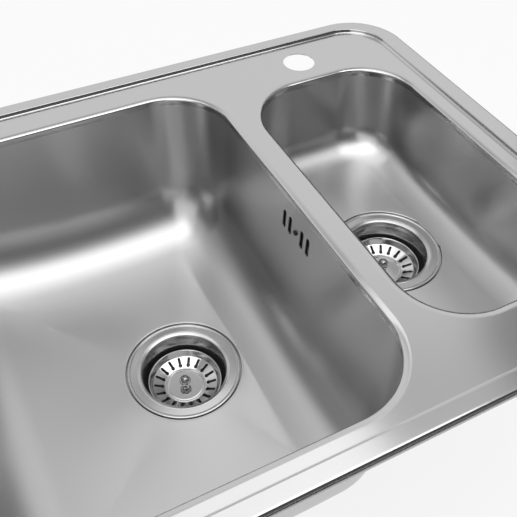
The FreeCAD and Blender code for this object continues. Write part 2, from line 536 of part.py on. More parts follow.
def extrude(body, kind, sketch, length, reverse=False, both=False):
    """A pad along the sketch's normal or a pocket against it, unless reversed."""
    feature = body.newObject(f"PartDesign::{kind}", f"{sketch.Name}_{kind.lower()}")
    feature.Profile = sketch
    bind(feature, "Length", length)
    feature.Reversed = reverse
    feature.Midplane = both
    doc.recompute()
    return feature


def turn_profile(body, kind, sketch):
    """A Revolution or Groove of a sketch about its own upright axis."""
    feature = body.newObject(f"PartDesign::{kind}", f"{sketch.Name}_{kind.lower()}")
    feature.Profile = sketch
    feature.ReferenceAxis = (sketch, ["V_Axis"])
    feature.Angle = 360
    doc.recompute()
    return feature


def repeat_round(body, feature, count):
    """Copies of a feature round the body's upright axis."""
    pattern = body.newObject("PartDesign::PolarPattern", f"{feature.Name}_round")
    pattern.Originals = [feature]
    pattern.Axis = (origin_feature(body, "Z_Axis"), [""])
    pattern.Angle = 360
    bind(pattern, "Occurrences", count)
    body.Tip = pattern
    doc.recompute()
    return pattern


def round_edges(body, feature, name, radius, chosen):
    """A fillet on the edges that a test chooses."""
    edges = [f"Edge{i}" for i, edge in enumerate(feature.Shape.Edges, start=1) if chosen(edge)]
    if not edges:
        raise RuntimeError(f"{body.Label}: no edge found for {name}")
    fillet = body.newObject("PartDesign::Fillet", f"{body.Name}_{name}")
    fillet.Base = (feature, edges)
    bind(fillet, "Radius", radius)
    doc.recompute()
    return fillet


def edge_points(edge):
    first, last = edge.ParameterRange
    return [edge.valueAt(first + (last - first) * share) for share in (0, 0.5, 1)]


def on_outline(level, width, length, corner, x=None, y=None):
    """A test for edges that lie on a rounded rectangle at one level."""
    middle = Vector(size(x) if x else 0, size(y) if y else 0, size(level))
    w, d, r = size(width) / 2, size(length) / 2, size(corner)
    near = 1e-4

    def chosen(edge):
        for point in edge_points(edge):
            spot = point - middle
            across, along = abs(spot.x) - w + r, abs(spot.y) - d + r
            outside = math.hypot(max(across, 0), max(along, 0)) + min(max(across, along), 0) - r
            if abs(spot.z) > near or abs(outside) > near:
                return False
        return True

    return chosen


def on_circle(level, radius, x=0.0):
    """A test for edges on a circle about an upright axis."""
    near = 1e-3

    def chosen(edge):
        for point in edge_points(edge):
            off = math.hypot(point.x - x, point.y) - size(radius)
            if abs(point.z - size(level)) > near or abs(off) > near:
                return False
        return True

    return chosen


def turned(label, points):
    """A body turned about the upright axis from an outline of (radius, level) points."""
    body = new_body(label)
    sketch = new_sketch(body, "profile", "XZ_Plane")
    add_outline(sketch, points)
    turn_profile(body, "Revolution", sketch)
    return body


def ring(label, radii, levels):
    """A plain ring between two radii and two levels."""
    bore, radius = radii
    foot, top = levels
    return turned(label, [(bore, foot), (radius, foot), (radius, top), (bore, top)])


PIECES = []


def keep(thing, label):
    """Name a finished sub-part and put it on the list of pieces to write."""
    thing.Label = label
    PIECES.append(thing)


# Deck with rim, step and bowl lips


def make_deck():
    body = new_body("deck")
    block = new_sketch(body, "rim")
    add_rounded_rectangle(block, "sink_length", "sink_depth", "rim_corner")
    extrude(body, "Pad", block, "rim_height")
    step = new_sketch(body, "step", out="rim_height")
    add_rounded_rectangle(step, "step_length", "step_width", "step_corner")
    extrude(body, "Pocket", step, "step_depth")
    under = new_sketch(body, "under")
    add_rounded_rectangle(under, "fold_length", "fold_depth", "fold_corner")
    extrude(body, "Pocket", under, "deck_under", reverse=True)
    hollow = new_sketch(body, "band_hollow")
    add_rounded_rectangle(hollow, "fold_length", "fold_depth", "fold_corner")
    add_rounded_rectangle(hollow, "step_back_length", "step_back_width", "step_back_corner")
    last = extrude(body, "Pocket", hollow, "band_under", reverse=True)
    for bowl in ("main", "half"):
        opening = (f"{bowl}_width", f"{bowl}_length", f"{bowl}_corner")
        hole = new_sketch(body, f"{bowl}_opening", right=f"{bowl}_x", up="bowls_y", out="rim_height")
        add_rounded_rectangle(hole, *opening)
        extrude(body, "Pocket", hole, "rim_height")
        skirt = new_sketch(body, f"{bowl}_skirt", right=f"{bowl}_x", up="bowls_y", out="deck_under")
        add_rounded_rectangle(skirt, *opening)
        add_rounded_rectangle(skirt, f"{bowl}_outer_width", f"{bowl}_outer_length", f"{bowl}_outer_corner")
        last = extrude(body, "Pad", skirt, "skirt_length", reverse=True)
    tap = new_sketch(body, "tap_hole", right="half_x", up="tap_hole_y", out="rim_height")
    add_circle(tap, "tap_hole_radius")
    last = extrude(body, "Pocket", tap, "rim_height")
    rim = ("sink_length", "sink_depth", "rim_corner")
    fold = ("fold_length", "fold_depth", "fold_corner")
    front = ("step_length", "step_width", "step_corner")
    back = ("step_back_length", "step_back_width", "step_back_corner")
    for name, radius, level, outline in (
        ("fold_inside", "fold_round", "band_under", fold),
        ("step_top_inside", "step_inner_round", "band_under", back),
        ("fold_edge", "rim_round", "rim_height", rim),
        ("step_top", "step_top_round", "rim_height", front),
        ("step_foot", "step_foot_round", "deck_height", front),
        ("step_foot_outside", "step_outer_round", "deck_under", back),
    ):
        last = round_edges(body, last, name, radius, on_outline(level, *outline))
    for bowl in ("main", "half"):
        inside = (f"{bowl}_width", f"{bowl}_length", f"{bowl}_corner")
        outside = (f"{bowl}_outer_width", f"{bowl}_outer_length", f"{bowl}_outer_corner")
        test = on_outline("deck_under", *outside, f"{bowl}_x", "bowls_y")
        last = round_edges(body, last, f"{bowl}_lip_inside", "lip_inner_round", test)
        test = on_outline("deck_height", *inside, f"{bowl}_x", "bowls_y")
        last = round_edges(body, last, f"{bowl}_lip", "lip_round", test)
    keep(body, "deck")


def make_rim_seal():
    body = new_body("rim_seal")
    strip = new_sketch(body, "strip")
    add_rounded_rectangle(strip, "seal_outer_length", "seal_outer_depth", "seal_outer_corner")
    add_rounded_rectangle(strip, "seal_inner_length", "seal_inner_depth", "seal_inner_corner")
    extrude(body, "Pad", strip, "band_under")
    keep(body, "rim_seal")


# Bowls


def bowl_block(bowl, side, width, length, corner, apex, radius):
    """A leaning block with a conical floor, the outside or the inside of a bowl, about the bowl's middle."""
    body = new_body(f"{bowl}_{side}")
    place(body, x=f"{bowl}_x", y="bowls_y")
    top = new_sketch(body, "top", out="seam")
    add_rounded_rectangle(top, width, length, corner)
    block = extrude(body, "Pad", top, f"{bowl}_block", reverse=True)
    block.setExpression("TaperAngle", "-" + link(f"{bowl}_draft"))
    below = new_sketch(body, "below", "XZ_Plane", right=f"{bowl}_drain_offset")
    add_outline(below, [
        (0, apex),
        ("cone_reach", f"{apex}_rise"),
        ("cone_reach", f"{bowl}_below"),
        (0, f"{bowl}_below"),
    ])
    cone = turn_profile(body, "Groove", below)
    limit = size(f"{apex}_rise")
    axis = size(f"{bowl}_drain_offset")

    def at_floor(edge):
        from_axis = min(math.hypot(point.x - axis, point.y) for point in edge_points(edge))
        return edge.BoundBox.ZMax < limit and from_axis > size("recess_radius")

    round_edges(body, cone, "floor", radius, at_floor)
    return body


def add_cylinder(body, bowl, name, radius, level, reach):
    """An upright cylinder on the bowl's waste axis."""
    disc = new_sketch(body, name, right=f"{bowl}_drain_offset", out=level)
    add_circle(disc, radius)
    return extrude(body, "Pad", disc, reach)


def make_bowl(bowl):
    opening = (f"{bowl}_width", f"{bowl}_length", f"{bowl}_corner")
    outline = (f"{bowl}_outer_width", f"{bowl}_outer_length", f"{bowl}_outer_corner")
    outer = bowl_block(bowl, "outside", *outline, f"{bowl}_outer_apex", f"{bowl}_outer_floor_round")
    add_cylinder(outer, bowl, "recess", "recess_outer", f"{bowl}_recess_under", "cut_over")
    inner = bowl_block(bowl, "inside", *opening, f"{bowl}_apex", f"{bowl}_floor_round")
    last = add_cylinder(inner, bowl, "recess", "recess_radius", f"{bowl}_recess", "cut_over")
    edge = on_circle(f"{bowl}_floor", "recess_radius", size(f"{bowl}_drain_offset"))
    round_edges(inner, last, "recess_edge", "recess_round", edge)
    add_cylinder(inner, bowl, "drain", "drain_radius", f"{bowl}_drain_foot", "drain_reach")
    if bowl == "main":
        slots = new_sketch(inner, "slots", "YZ_Plane", up="overflow_level", out="overflow_cut_start")
        for factor in (-2, -1, 1, 2):
            add_slot(slots, "overflow_pitch", factor, "overflow_slot_length", "overflow_slot_width")
        add_circle(slots, "wall_screw_hole")
        extrude(inner, "Pad", slots, "overflow_cut")
    shell = doc.addObject("Part::Cut", f"{bowl}_bowl")
    shell.Base = outer
    shell.Tool = inner
    doc.recompute()
    keep(shell, f"{bowl}_bowl")


def make_pad(label, length, height, corner, lean, turn):
    """A sound-deadening pad, flat on a leaning wall, from its lower corner."""
    pad = doc.addObject("Part::Box", label)
    bind(pad, "Length", length)
    bind(pad, "Width", "pad_thickness")
    bind(pad, "Height", height)
    upright = FreeCAD.Rotation(Vector(0, 0, 1), turn)
    rotation = upright * FreeCAD.Rotation(Vector(1, 0, 0), -size(lean))
    pad.Placement = FreeCAD.Placement(Vector(), rotation)
    for axis, name in zip("xyz", corner):
        bind(pad, f"Placement.Base.{axis}", name)
    keep(pad, label)


def make_pads():
    left = ("left_pad_x", "left_pad_y", "main_pad_foot")
    back = ("back_pad_x", "back_pad_y", "main_pad_foot")
    right = ("right_pad_x", "right_pad_y", "half_pad_foot")
    make_pad("main_left_sound_pad", "left_pad_length", "main_pad_height", left, "main_draft", 90)
    make_pad("main_back_sound_pad", "back_pad_length", "main_pad_height", back, "main_draft", 0)
    make_pad("half_right_sound_pad", "right_pad_length", "half_pad_height", right, "half_draft", -90)


# Strainer, gaskets and waste body of one bowl


def make_cup(bowl):
    body = new_body(f"{bowl}_strainer_cup")
    sketch = new_sketch(body, "profile", "XZ_Plane")
    add_outline(sketch, [
        ("flange_radius", 0),
        ("cup_radius", "throat_top"),
        ("cup_radius", "cup_wall_end"),
        ("cup_floor_radius", "cup_floor"),
        ("hub_hole", "cup_floor"),
        ("hub_hole", "cup_floor_under"),
        ("cup_outer_floor_radius", "cup_floor_under"),
        ("cup_outer_radius", "cup_wall_end"),
        ("cup_outer_radius", "throat_under"),
        ("flange_radius", "flange_under"),
    ])
    last = turn_profile(body, "Revolution", sketch)
    under = on_circle("throat_under", "cup_outer_radius")
    last = round_edges(body, last, "throat_under", "throat_round", under)
    top = on_circle("throat_top", "cup_radius")
    round_edges(body, last, "throat", "throat_outer_round", top)
    holes = new_sketch(body, "outlet", right="outlet_circle")
    add_circle(holes, "outlet_hole")
    hole = extrude(body, "Pocket", holes, "body_cone_end")
    repeat_round(body, hole, "outlet_count")
    return body


def make_basket(bowl):
    body = new_body(f"{bowl}_basket")
    sketch = new_sketch(body, "profile", "XZ_Plane")
    add_outline(sketch, [
        ("basket_hole", "basket_disc"),
        ("basket_disc_radius", "basket_disc"),
        ("basket_cone_radius", "basket_cone"),
        ("basket_wall", "basket_rim"),
        ("basket_rim_radius", "basket_rim"),
        ("basket_rim_radius", "basket_rim_under"),
        ("basket_wall_out", "basket_rim_under"),
        ("basket_cone_out", "basket_cone_under"),
        ("basket_disc_radius", "basket_disc_under"),
        ("basket_hole", "basket_disc_under"),
    ])
    turn_profile(body, "Revolution", sketch)
    slot = new_sketch(body, "slot", up="slot_middle")
    add_slot(slot, "slot_middle", 0, "slot_reach", "slot_width")
    cut = extrude(body, "Pocket", slot, "body_cone_end")
    repeat_round(body, cut, "slot_count")
    return body


def make_knob(bowl):
    body = turned(f"{bowl}_basket_knob", [
        (0, "knob_spigot"),
        ("spigot_radius", "knob_spigot"),
        ("spigot_radius", "basket_disc"),
        ("knob_foot", "basket_disc"),
        ("knob_neck", "knob_foot_top"),
        ("knob_neck", "knob_ball"),
        (0, "knob_ball"),
    ])
    ball = body.newObject("PartDesign::AdditiveSphere", f"{body.Name}_ball")
    bind(ball, "Radius", "knob_radius")
    bind(ball, "AttachmentOffset.Base.z", "knob_ball")
    ball.AttachmentSupport = [(origin_feature(body, "XY_Plane"), "")]
    ball.MapMode = "FlatFace"
    doc.recompute()
    return body


def make_waste_body(bowl):
    body = turned(f"{bowl}_waste_body", [
        ("body_radius", "body_top"),
        ("body_flange_radius", "body_top"),
        ("body_flange_radius", "body_flange_under"),
        ("body_outer", "body_flange_under"),
        ("body_outer", "cone_top"),
        ("outlet_radius", "cone_foot"),
        ("outlet_radius", "outlet_end"),
        ("outlet_bore", "outlet_end"),
        ("outlet_bore", "cone_foot"),
        ("body_radius", "cone_top"),
    ])
    rib = new_sketch(body, "rib", "XZ_Plane")
    add_outline(rib, [
        ("nut_radius", "cup_floor_under"),
        ("boss_radius", "cup_floor_under"),
        ("boss_radius", "cone_top"),
        ("rib_outer_top", "cone_top"),
        ("rib_outer_foot", "cone_foot"),
        ("nut_radius", "cone_foot"),
    ])
    web = extrude(body, "Pad", rib, "rib_thickness", both=True)
    repeat_round(body, web, "rib_count")
    boss = new_sketch(body, "boss", "XZ_Plane")
    add_outline(boss, [
        (0, "cup_floor_under"),
        ("boss_radius", "cup_floor_under"),
        ("boss_radius", "nut_foot"),
        (0, "nut_foot"),
    ])
    turn_profile(body, "Revolution", boss)
    seat = new_sketch(body, "nut_seat", "XZ_Plane")
    add_outline(seat, [
        (0, "body_top"),
        ("hub_hole", "body_top"),
        ("hub_hole", "nut_top"),
        ("nut_radius", "nut_top"),
        ("nut_radius", "outlet_end"),
        (0, "outlet_end"),
    ])
    turn_profile(body, "Groove", seat)
    if bowl == "main":
        inlet = new_sketch(body, "inlet", "YZ_Plane", up="inlet_level", out="inlet_start")
        add_circle(inlet, "pipe_radius")
        extrude(body, "Pad", inlet, "inlet_reach")
        bore = new_sketch(body, "inlet_bore", "YZ_Plane", up="inlet_level", out="inlet_end")
        add_circle(bore, "pipe_bore")
        extrude(body, "Pocket", bore, "inlet_cut")
    return body


def make_waste(bowl):
    """All pieces on one waste's upright axis, drawn from the top of the strainer flange."""
    below = ring(f"{bowl}_lower_gasket", ("gasket_bore", "body_flange_radius"), ("body_top", "bowl_under"))
    nut = ring(f"{bowl}_clamp_nut", ("nut_bore", "nut_radius"), ("nut_foot", "nut_top"))
    seal = ring(f"{bowl}_basket_seal", ("seal_bore", "seal_radius"), ("seal_under", "basket_disc_under"))
    pieces = {
        "strainer_cup": make_cup(bowl),
        "upper_gasket": turned(f"{bowl}_upper_gasket", [
            ("flange_gasket_bore", "gasket_under"),
            ("flange_radius", "gasket_under"),
            ("flange_radius", "gasket_top"),
            ("flange_gasket_bore", "flange_gasket_top"),
        ]),
        "lower_gasket": below,
        "waste_body": make_waste_body(bowl),
        "clamp_nut": nut,
        "clamp_screw": turned(f"{bowl}_clamp_screw", [
            ("screw_bore", "screw_top"),
            ("screw_head_radius", "screw_top"),
            ("screw_head_radius", "cup_floor"),
            ("screw_radius", "cup_floor"),
            ("screw_radius", "screw_end"),
            ("screw_bore", "screw_end"),
        ]),
        "basket": make_basket(bowl),
        "basket_knob": make_knob(bowl),
        "basket_stem": turned(f"{bowl}_basket_stem", [
            ("basket_hole", "basket_disc_under"),
            ("stem_flange_radius", "basket_disc_under"),
            ("stem_flange_radius", "stem_flange_under"),
            ("stem_radius", "stem_flange_under"),
            ("stem_radius", "stem_end"),
            (0, "stem_end"),
            (0, "stem_socket"),
            ("basket_hole", "stem_socket"),
        ]),
        "basket_seal": seal,
    }
    for name, body in pieces.items():
        place(body, x=f"{bowl}_drain_x", y="bowls_y", z=f"{bowl}_flange")
        keep(body, f"{bowl}_{name}")


# Overflow from the main bowl to its waste


def make_overflow_gasket():
    body = new_body("overflow_gasket")
    place(body, y="bowls_y")
    sketch = new_sketch(body, "sheet", "XZ_Plane")
    add_outline(sketch, [
        ("wall_at_foot", "housing_foot"),
        ("gasket_at_foot", "housing_foot"),
        ("gasket_at_top", "housing_top"),
        ("wall_at_top", "housing_top"),
    ])
    extrude(body, "Pad", sketch, "housing_width", both=True)
    window = new_sketch(body, "slots", "YZ_Plane", up="overflow_level", out="gasket_cut_start")
    for factor in (-2, -1, 1, 2):
        add_slot(window, "overflow_pitch", factor, "overflow_slot_length", "overflow_slot_width")
    add_circle(window, "wall_screw_hole")
    extrude(body, "Pocket", window, "overflow_cut")
    keep(body, "overflow_gasket")


def make_overflow_housing():
    body = new_body("overflow_housing")
    place(body, y="bowls_y")
    outside = new_sketch(body, "outside", "XZ_Plane")
    add_outline(outside, [
        ("gasket_at_foot", "housing_foot"),
        ("housing_back", "housing_foot"),
        ("housing_back", "housing_top"),
        ("gasket_at_top", "housing_top"),
    ])
    extrude(body, "Pad", outside, "housing_width", both=True)
    spout = new_sketch(body, "spout", right="pipe_x", out="housing_foot")
    add_circle(spout, "pipe_radius")
    extrude(body, "Pad", spout, "housing_spout", reverse=True)
    inside = new_sketch(body, "inside", "XZ_Plane")
    add_outline(inside, [
        ("wall_at_foot", "housing_inner_foot"),
        ("housing_floor_back", "housing_inner_foot"),
        ("housing_floor_back", "housing_inner_top"),
        ("wall_at_foot", "housing_inner_top"),
    ])
    extrude(body, "Pocket", inside, "housing_inner_width", both=True)
    bore = new_sketch(body, "spout_bore", right="pipe_x", out="spout_end")
    add_circle(bore, "pipe_bore")
    extrude(body, "Pocket", bore, "spout_cut", reverse=True)
    post = new_sketch(body, "post", "YZ_Plane", up="overflow_level", out="post_start")
    add_circle(post, "post_radius")
    extrude(body, "Pad", post, "post_length")
    screw_bore = new_sketch(body, "post_bore", "YZ_Plane", up="overflow_level", out="post_start")
    add_circle(screw_bore, "post_bore")
    extrude(body, "Pocket", screw_bore, "post_depth", reverse=True)
    keep(body, "overflow_housing")


def make_overflow_screw():
    body = new_body("overflow_screw")
    place(body, y="bowls_y")
    head = new_sketch(body, "head", "YZ_Plane", up="overflow_level", out="screw_head_start")
    add_circle(head, "overflow_head_radius")
    extrude(body, "Pad", head, "overflow_head_height")
    shank = new_sketch(body, "shank", "YZ_Plane", up="overflow_level", out="screw_head_start")
    add_circle(shank, "overflow_screw_radius")
    extrude(body, "Pad", shank, "overflow_screw_length")
    keep(body, "overflow_screw")


def make_overflow_pipe():
    body = new_body("overflow_pipe")
    place(body, y="bowls_y")
    path = new_sketch(body, "path", "XZ_Plane")
    start = Vector(size("pipe_start"), size("pipe_level"), 0)
    bend = Vector(size("pipe_bend_x"), size("pipe_level"), 0)
    centre = Vector(size("pipe_bend_x"), size("pipe_bend_z"), 0)
    rise = Vector(size("pipe_x"), size("pipe_bend_z"), 0)
    top = Vector(size("pipe_x"), size("spout_end"), 0)
    run = path.addGeometry(Part.LineSegment(start, bend), False)
    circle = Part.Circle(centre, Vector(0, 0, 1), size("pipe_bend"))
    arc = path.addGeometry(Part.ArcOfCircle(circle, -math.pi / 2, 0), False)
    upright = path.addGeometry(Part.LineSegment(rise, top), False)
    path.addConstraint(Sketcher.Constraint("Horizontal", run))
    path.addConstraint(Sketcher.Constraint("Vertical", upright))
    path.addConstraint(Sketcher.Constraint("Tangent", run, 2, arc, 1))
    path.addConstraint(Sketcher.Constraint("Tangent", arc, 2, upright, 1))
    measure(path, "DistanceX", (-1, 1, run, 1), "pipe_start")
    measure(path, "DistanceY", (-1, 1, run, 1), "pipe_level")
    measure(path, "DistanceX", (-1, 1, upright, 2), "pipe_x")
    measure(path, "DistanceY", (-1, 1, upright, 2), "spout_end")
    measure(path, "Radius", (arc,), "pipe_bend")
    section = new_sketch(body, "section", "YZ_Plane", up="pipe_level", out="pipe_start")
    add_circle(section, "pipe_radius")
    add_circle(section, "pipe_bore")
    doc.recompute()
    pipe = body.newObject("PartDesign::AdditivePipe", "overflow_pipe_sweep")
    pipe.Profile = section
    pipe.Spine = path
    doc.recompute()
    keep(body, "overflow_pipe")


def make_sleeves():
    lower = new_body("overflow_lower_sleeve")
    place(lower, y="bowls_y")
    section = new_sketch(lower, "section", "YZ_Plane", up="pipe_level", out="lower_sleeve_start")
    add_circle(section, "sleeve_radius")
    add_circle(section, "sleeve_bore")
    extrude(lower, "Pad", section, "sleeve_length")
    keep(lower, "overflow_lower_sleeve")
    upper = new_body("overflow_upper_sleeve")
    place(upper, y="bowls_y")
    section = new_sketch(upper, "section", right="pipe_x", out="upper_sleeve_start")
    add_circle(section, "sleeve_radius")
    add_circle(section, "sleeve_bore")
    extrude(upper, "Pad", section, "sleeve_length")
    keep(upper, "overflow_upper_sleeve")


# Hold-down clips under the rim


def make_clip_base(name):
    body = new_body(f"{name}_clip_base")
    plate = new_sketch(body, "plate", out="deck_under")
    add_rectangle(plate, "clip_plate_width", "clip_plate_length")
    extrude(body, "Pad", plate, "clip_plate_thickness", reverse=True)
    boss = new_sketch(body, "boss", out="clip_plate_under")
    add_circle(boss, "clip_boss_radius")
    extrude(body, "Pad", boss, "clip_boss_length", reverse=True)
    bore = new_sketch(body, "bore", out="clip_boss_end")
    add_circle(bore, "clip_bore")
    extrude(body, "Pocket", bore, "clip_bore_depth", reverse=True)
    return body


def make_clip_screw(name):
    return turned(f"{name}_clip_screw", [
        (0, "clip_head_under"),
        ("clip_head_radius", "clip_head_under"),
        ("clip_head_radius", "clip_head_top"),
        ("clip_screw_radius", "clip_head_top"),
        ("clip_screw_radius", "clip_screw_tip"),
        (0, "clip_screw_tip"),
    ])


def make_claw(name):
    body = new_body(f"{name}_clip_claw")
    plate = new_sketch(body, "plate", right="claw_middle", out="claw_under")
    add_rectangle(plate, "claw_length", "claw_width")
    extrude(body, "Pad", plate, "claw_sheet")
    tip = new_sketch(body, "tip", right="claw_tip_middle", out="claw_under")
    add_rectangle(tip, "claw_sheet", "claw_width")
    extrude(body, "Pad", tip, "claw_height")
    hole = new_sketch(body, "hole", out="claw_under")
    add_circle(hole, "clip_bore")
    extrude(body, "Pocket", hole, "claw_sheet", reverse=True)
    return body


QUARTER_TURN = 90

# The way that each clip's claw grips outwards. It rests a quarter turn before that, along the rim.
CLIPS = (
    ("front_left", "clip_left_spread", "clip_front_y", -90),
    ("front_right", "clip_spread", "clip_front_y", -90),
    ("back_left", "clip_left_spread", "clip_back_y", 90),
    ("back_right", "clip_spread", "clip_back_y", 90),
    ("left", "clip_left_x", "bowls_y", 180),
    ("right", "clip_right_x", "bowls_y", 0),
)


def make_clips():
    bases = []
    for name, x, y, turn in CLIPS:
        base = make_clip_base(name)
        place(base, x=x, y=y, turn=turn)
        bases.append(base)
        screw = make_clip_screw(name)
        place(screw, x=x, y=y)
        keep(screw, f"{name}_clip_screw")
        claw = make_claw(name)
        place(claw, x=x, y=y, turn=turn - QUARTER_TURN)
        keep(claw, f"{name}_clip_claw")
    group = doc.addObject("Part::Compound", "clip_bases")
    group.Links = bases
    doc.recompute()
    keep(group, "clip_bases")


def check_document():
    """Stop if any object failed, or if a piece is empty or broken."""
    for thing in doc.Objects:
        if "Invalid" in thing.State or "Error" in thing.State:
            raise RuntimeError(f"{thing.Name} is {thing.State}")
    for piece in PIECES:
        if piece.Shape.isNull() or not piece.Shape.isValid() or not piece.Shape.Solids:
            raise RuntimeError(f"{piece.Label} has no sound shape")


def write_pieces():
    os.makedirs("parts", exist_ok=True)
    for piece in PIECES:
        piece.Shape.exportStep(f"parts/{piece.Label}.step")


def main():
    make_deck()
    make_rim_seal()
    for bowl in ("main", "half"):
        make_bowl(bowl)
        make_waste(bowl)
    make_pads()
    make_overflow_gasket()
    make_overflow_housing()
    make_overflow_screw()
    make_overflow_pipe()
    make_sleeves()
    make_clips()
    doc.recompute()
    check_document()
    write_pieces()


main()
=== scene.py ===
import math

import bmesh
import bpy
from mathutils import Matrix, Vector
from mathutils.bvhtree import BVHTree
from mathutils.geometry import interpolate_bezier


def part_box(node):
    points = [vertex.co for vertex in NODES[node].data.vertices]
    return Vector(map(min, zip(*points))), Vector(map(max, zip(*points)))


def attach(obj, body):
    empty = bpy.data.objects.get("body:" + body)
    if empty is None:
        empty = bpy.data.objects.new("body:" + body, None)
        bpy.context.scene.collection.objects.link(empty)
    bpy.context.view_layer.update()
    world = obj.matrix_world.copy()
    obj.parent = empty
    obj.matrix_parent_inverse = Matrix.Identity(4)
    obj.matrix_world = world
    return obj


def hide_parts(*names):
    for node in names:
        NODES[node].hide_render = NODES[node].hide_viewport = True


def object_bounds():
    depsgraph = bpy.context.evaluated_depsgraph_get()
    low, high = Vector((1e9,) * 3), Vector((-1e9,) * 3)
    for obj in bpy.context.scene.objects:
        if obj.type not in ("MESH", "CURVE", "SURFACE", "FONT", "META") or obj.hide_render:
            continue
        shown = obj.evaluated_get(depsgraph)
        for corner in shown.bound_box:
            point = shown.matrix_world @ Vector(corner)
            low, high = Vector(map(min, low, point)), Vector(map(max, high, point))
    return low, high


# Looks of an inset kitchen sink with a main bowl and a half bowl, built round its packed frame.
# Metres. X runs along the sink towards the half bowl, Y to the back, Z up from the worktop.

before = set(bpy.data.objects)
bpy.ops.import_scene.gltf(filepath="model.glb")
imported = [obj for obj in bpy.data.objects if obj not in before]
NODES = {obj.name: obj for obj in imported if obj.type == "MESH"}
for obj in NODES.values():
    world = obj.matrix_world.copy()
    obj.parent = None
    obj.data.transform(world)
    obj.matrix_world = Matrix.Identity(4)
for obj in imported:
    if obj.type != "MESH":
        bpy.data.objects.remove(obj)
CAD_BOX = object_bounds()

bl_info = {
    "name": "Inset steel sink",
    "version": (1, 0, 0),
    "blender": (4, 5, 0),
    "location": "3D View > Sidebar > Sink",
    "description": "Dresses the frame of a one-and-a-half bowl steel sink",
    "category": "Object",
}

MM = 0.001
ROOT_BODY = "sink"
BOWLS = ("main", "half")
CLIPS = ("front_left", "front_right", "back_left", "back_right", "left", "right")


def linear(code):
    """A hex sRGB colour as linear red, green and blue."""
    parts = [int(code[i:i + 2], 16) / 255 for i in (0, 2, 4)]
    return [p / 12.92 if p <= 0.04045 else ((p + 0.055) / 1.055) ** 2.4 for p in parts]


def middle(node):
    """The middle of a CAD node's box."""
    low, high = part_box(node)
    return (low + high) / 2


def span(node):
    """The size of a CAD node's box."""
    low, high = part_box(node)
    return high - low


# Sizes and colours that a user would change


def length(label, about, value):
    """A length property, written in millimetres and kept in metres."""
    return bpy.props.FloatProperty(
        name=label, description=about, default=value * MM, unit="LENGTH", precision=4)


def angle(label, about, degrees):
    """An angle property, written in degrees."""
    return bpy.props.FloatProperty(
        name=label, description=about, default=math.radians(degrees), unit="ROTATION")


def colour(label, about, code):
    """A colour property, written as a hex sRGB value."""
    return bpy.props.FloatVectorProperty(
        name=label, description=about, default=linear(code), subtype="COLOR", min=0, max=1)


def amount(label, about, value):
    """A plain number property."""
    return bpy.props.FloatProperty(name=label, description=about, default=value)


class SinkSheetSizes(bpy.types.PropertyGroup):
    """Sizes of the pressed deck, and those that both bowls share."""

    length: length("Length", "Rim, left to right", span("deck").x / MM)
    depth: length("Depth", "Rim, front to back", span("deck").y / MM)
    corner: length("Corner", "Outer corner radius of the rim", 60)
    band_front: length("Front band", "Raised band along the front and back", 16)
    band_side: length("Side band", "Raised band along the short sides", 20.5)
    rim_height: length("Rim height", "Top of the raised band", 8)
    deck_height: length("Deck height", "Top of the deck", 4)
    steel: length("Sheet", "Sheet thickness", 1)
    rim_round: length("Rim edge", "Radius of the folded edge", 3)
    step_top: length("Step top", "Radius at the top of the step", 1.2)
    step_foot: length("Step foot", "Radius at the foot of the step", 2.4)
    lip_width: length("Lip width", "How far the bowl lips round over, sideways", 7)
    lip_drop: length("Lip drop", "How far the bowl lips round over, downwards", 2.8)
    seam: length("Seam", "Foot of the lips below the deck's top", 8)
    tap_hole: length("Tap hole", "Radius of the tap hole", 17.5)
    bowl_line: length("Bowl line", "Bowls' centre line in front of the middle", 9)
    floor_fall: angle("Floor fall", "Fall of the floors to the wastes", 0.4)
    recess: length("Seat", "Radius of the pressed seat round a waste", 58.5)
    recess_depth: length("Seat depth", "Depth of that seat", 3)
    recess_round: length("Seat edge", "Edge radius of that seat", 1)
    drain: length("Drain", "Radius of the hole in a floor", 45)
    pad: length("Pad", "Thickness of the sound-deadening pads", 3)
    pad_edge: length("Pad edge", "How far the pads' cut edges slope", 0.8)


class SinkMainSizes(bpy.types.PropertyGroup):
    """Sizes of the main bowl."""

    width: length("Width", "Opening along X", 333)
    length: length("Length", "Opening along Y", 416)
    corner: length("Corner", "Corner radius", 65)
    depth: length("Depth", "Deck to floor at the waste", 175.5)
    draft: angle("Draft", "Lean of the walls", 2)
    floor_dish: length("Floor dish", "How far the floor is dished at 150 mm from its waste", 6.5)
    floor_reach: length("Floor turn", "Width of the turn from wall to floor", 55)
    floor_rise: length("Floor rise", "Height of the turn from wall to floor", 46)
    slot_length: length("Overflow length", "Overflow slots", 21)
    slot_width: length("Overflow width", "Overflow slots", 5.8)
    slot_pitch: length("Overflow pitch", "Overflow slots and screw", 10.8)
    screw_hole: length("Overflow screw", "Radius of the screw's hole", 2.2)


class SinkHalfSizes(bpy.types.PropertyGroup):
    """Sizes of the half bowl."""

    width: length("Width", "Opening along X", 177)
    length: length("Length", "Opening along Y", 342)
    corner: length("Corner", "Corner radius", 60)
    depth: length("Depth", "Deck to floor at the waste", 108.5)
    draft: angle("Draft", "Lean of the walls", 2.5)
    floor_dish: length("Floor dish", "How far the floor is dished at 150 mm from its waste", 7.5)
    floor_reach: length("Floor turn", "Width of the turn from wall to floor", 32)
    floor_rise: length("Floor rise", "Height of the turn from wall to floor", 23)


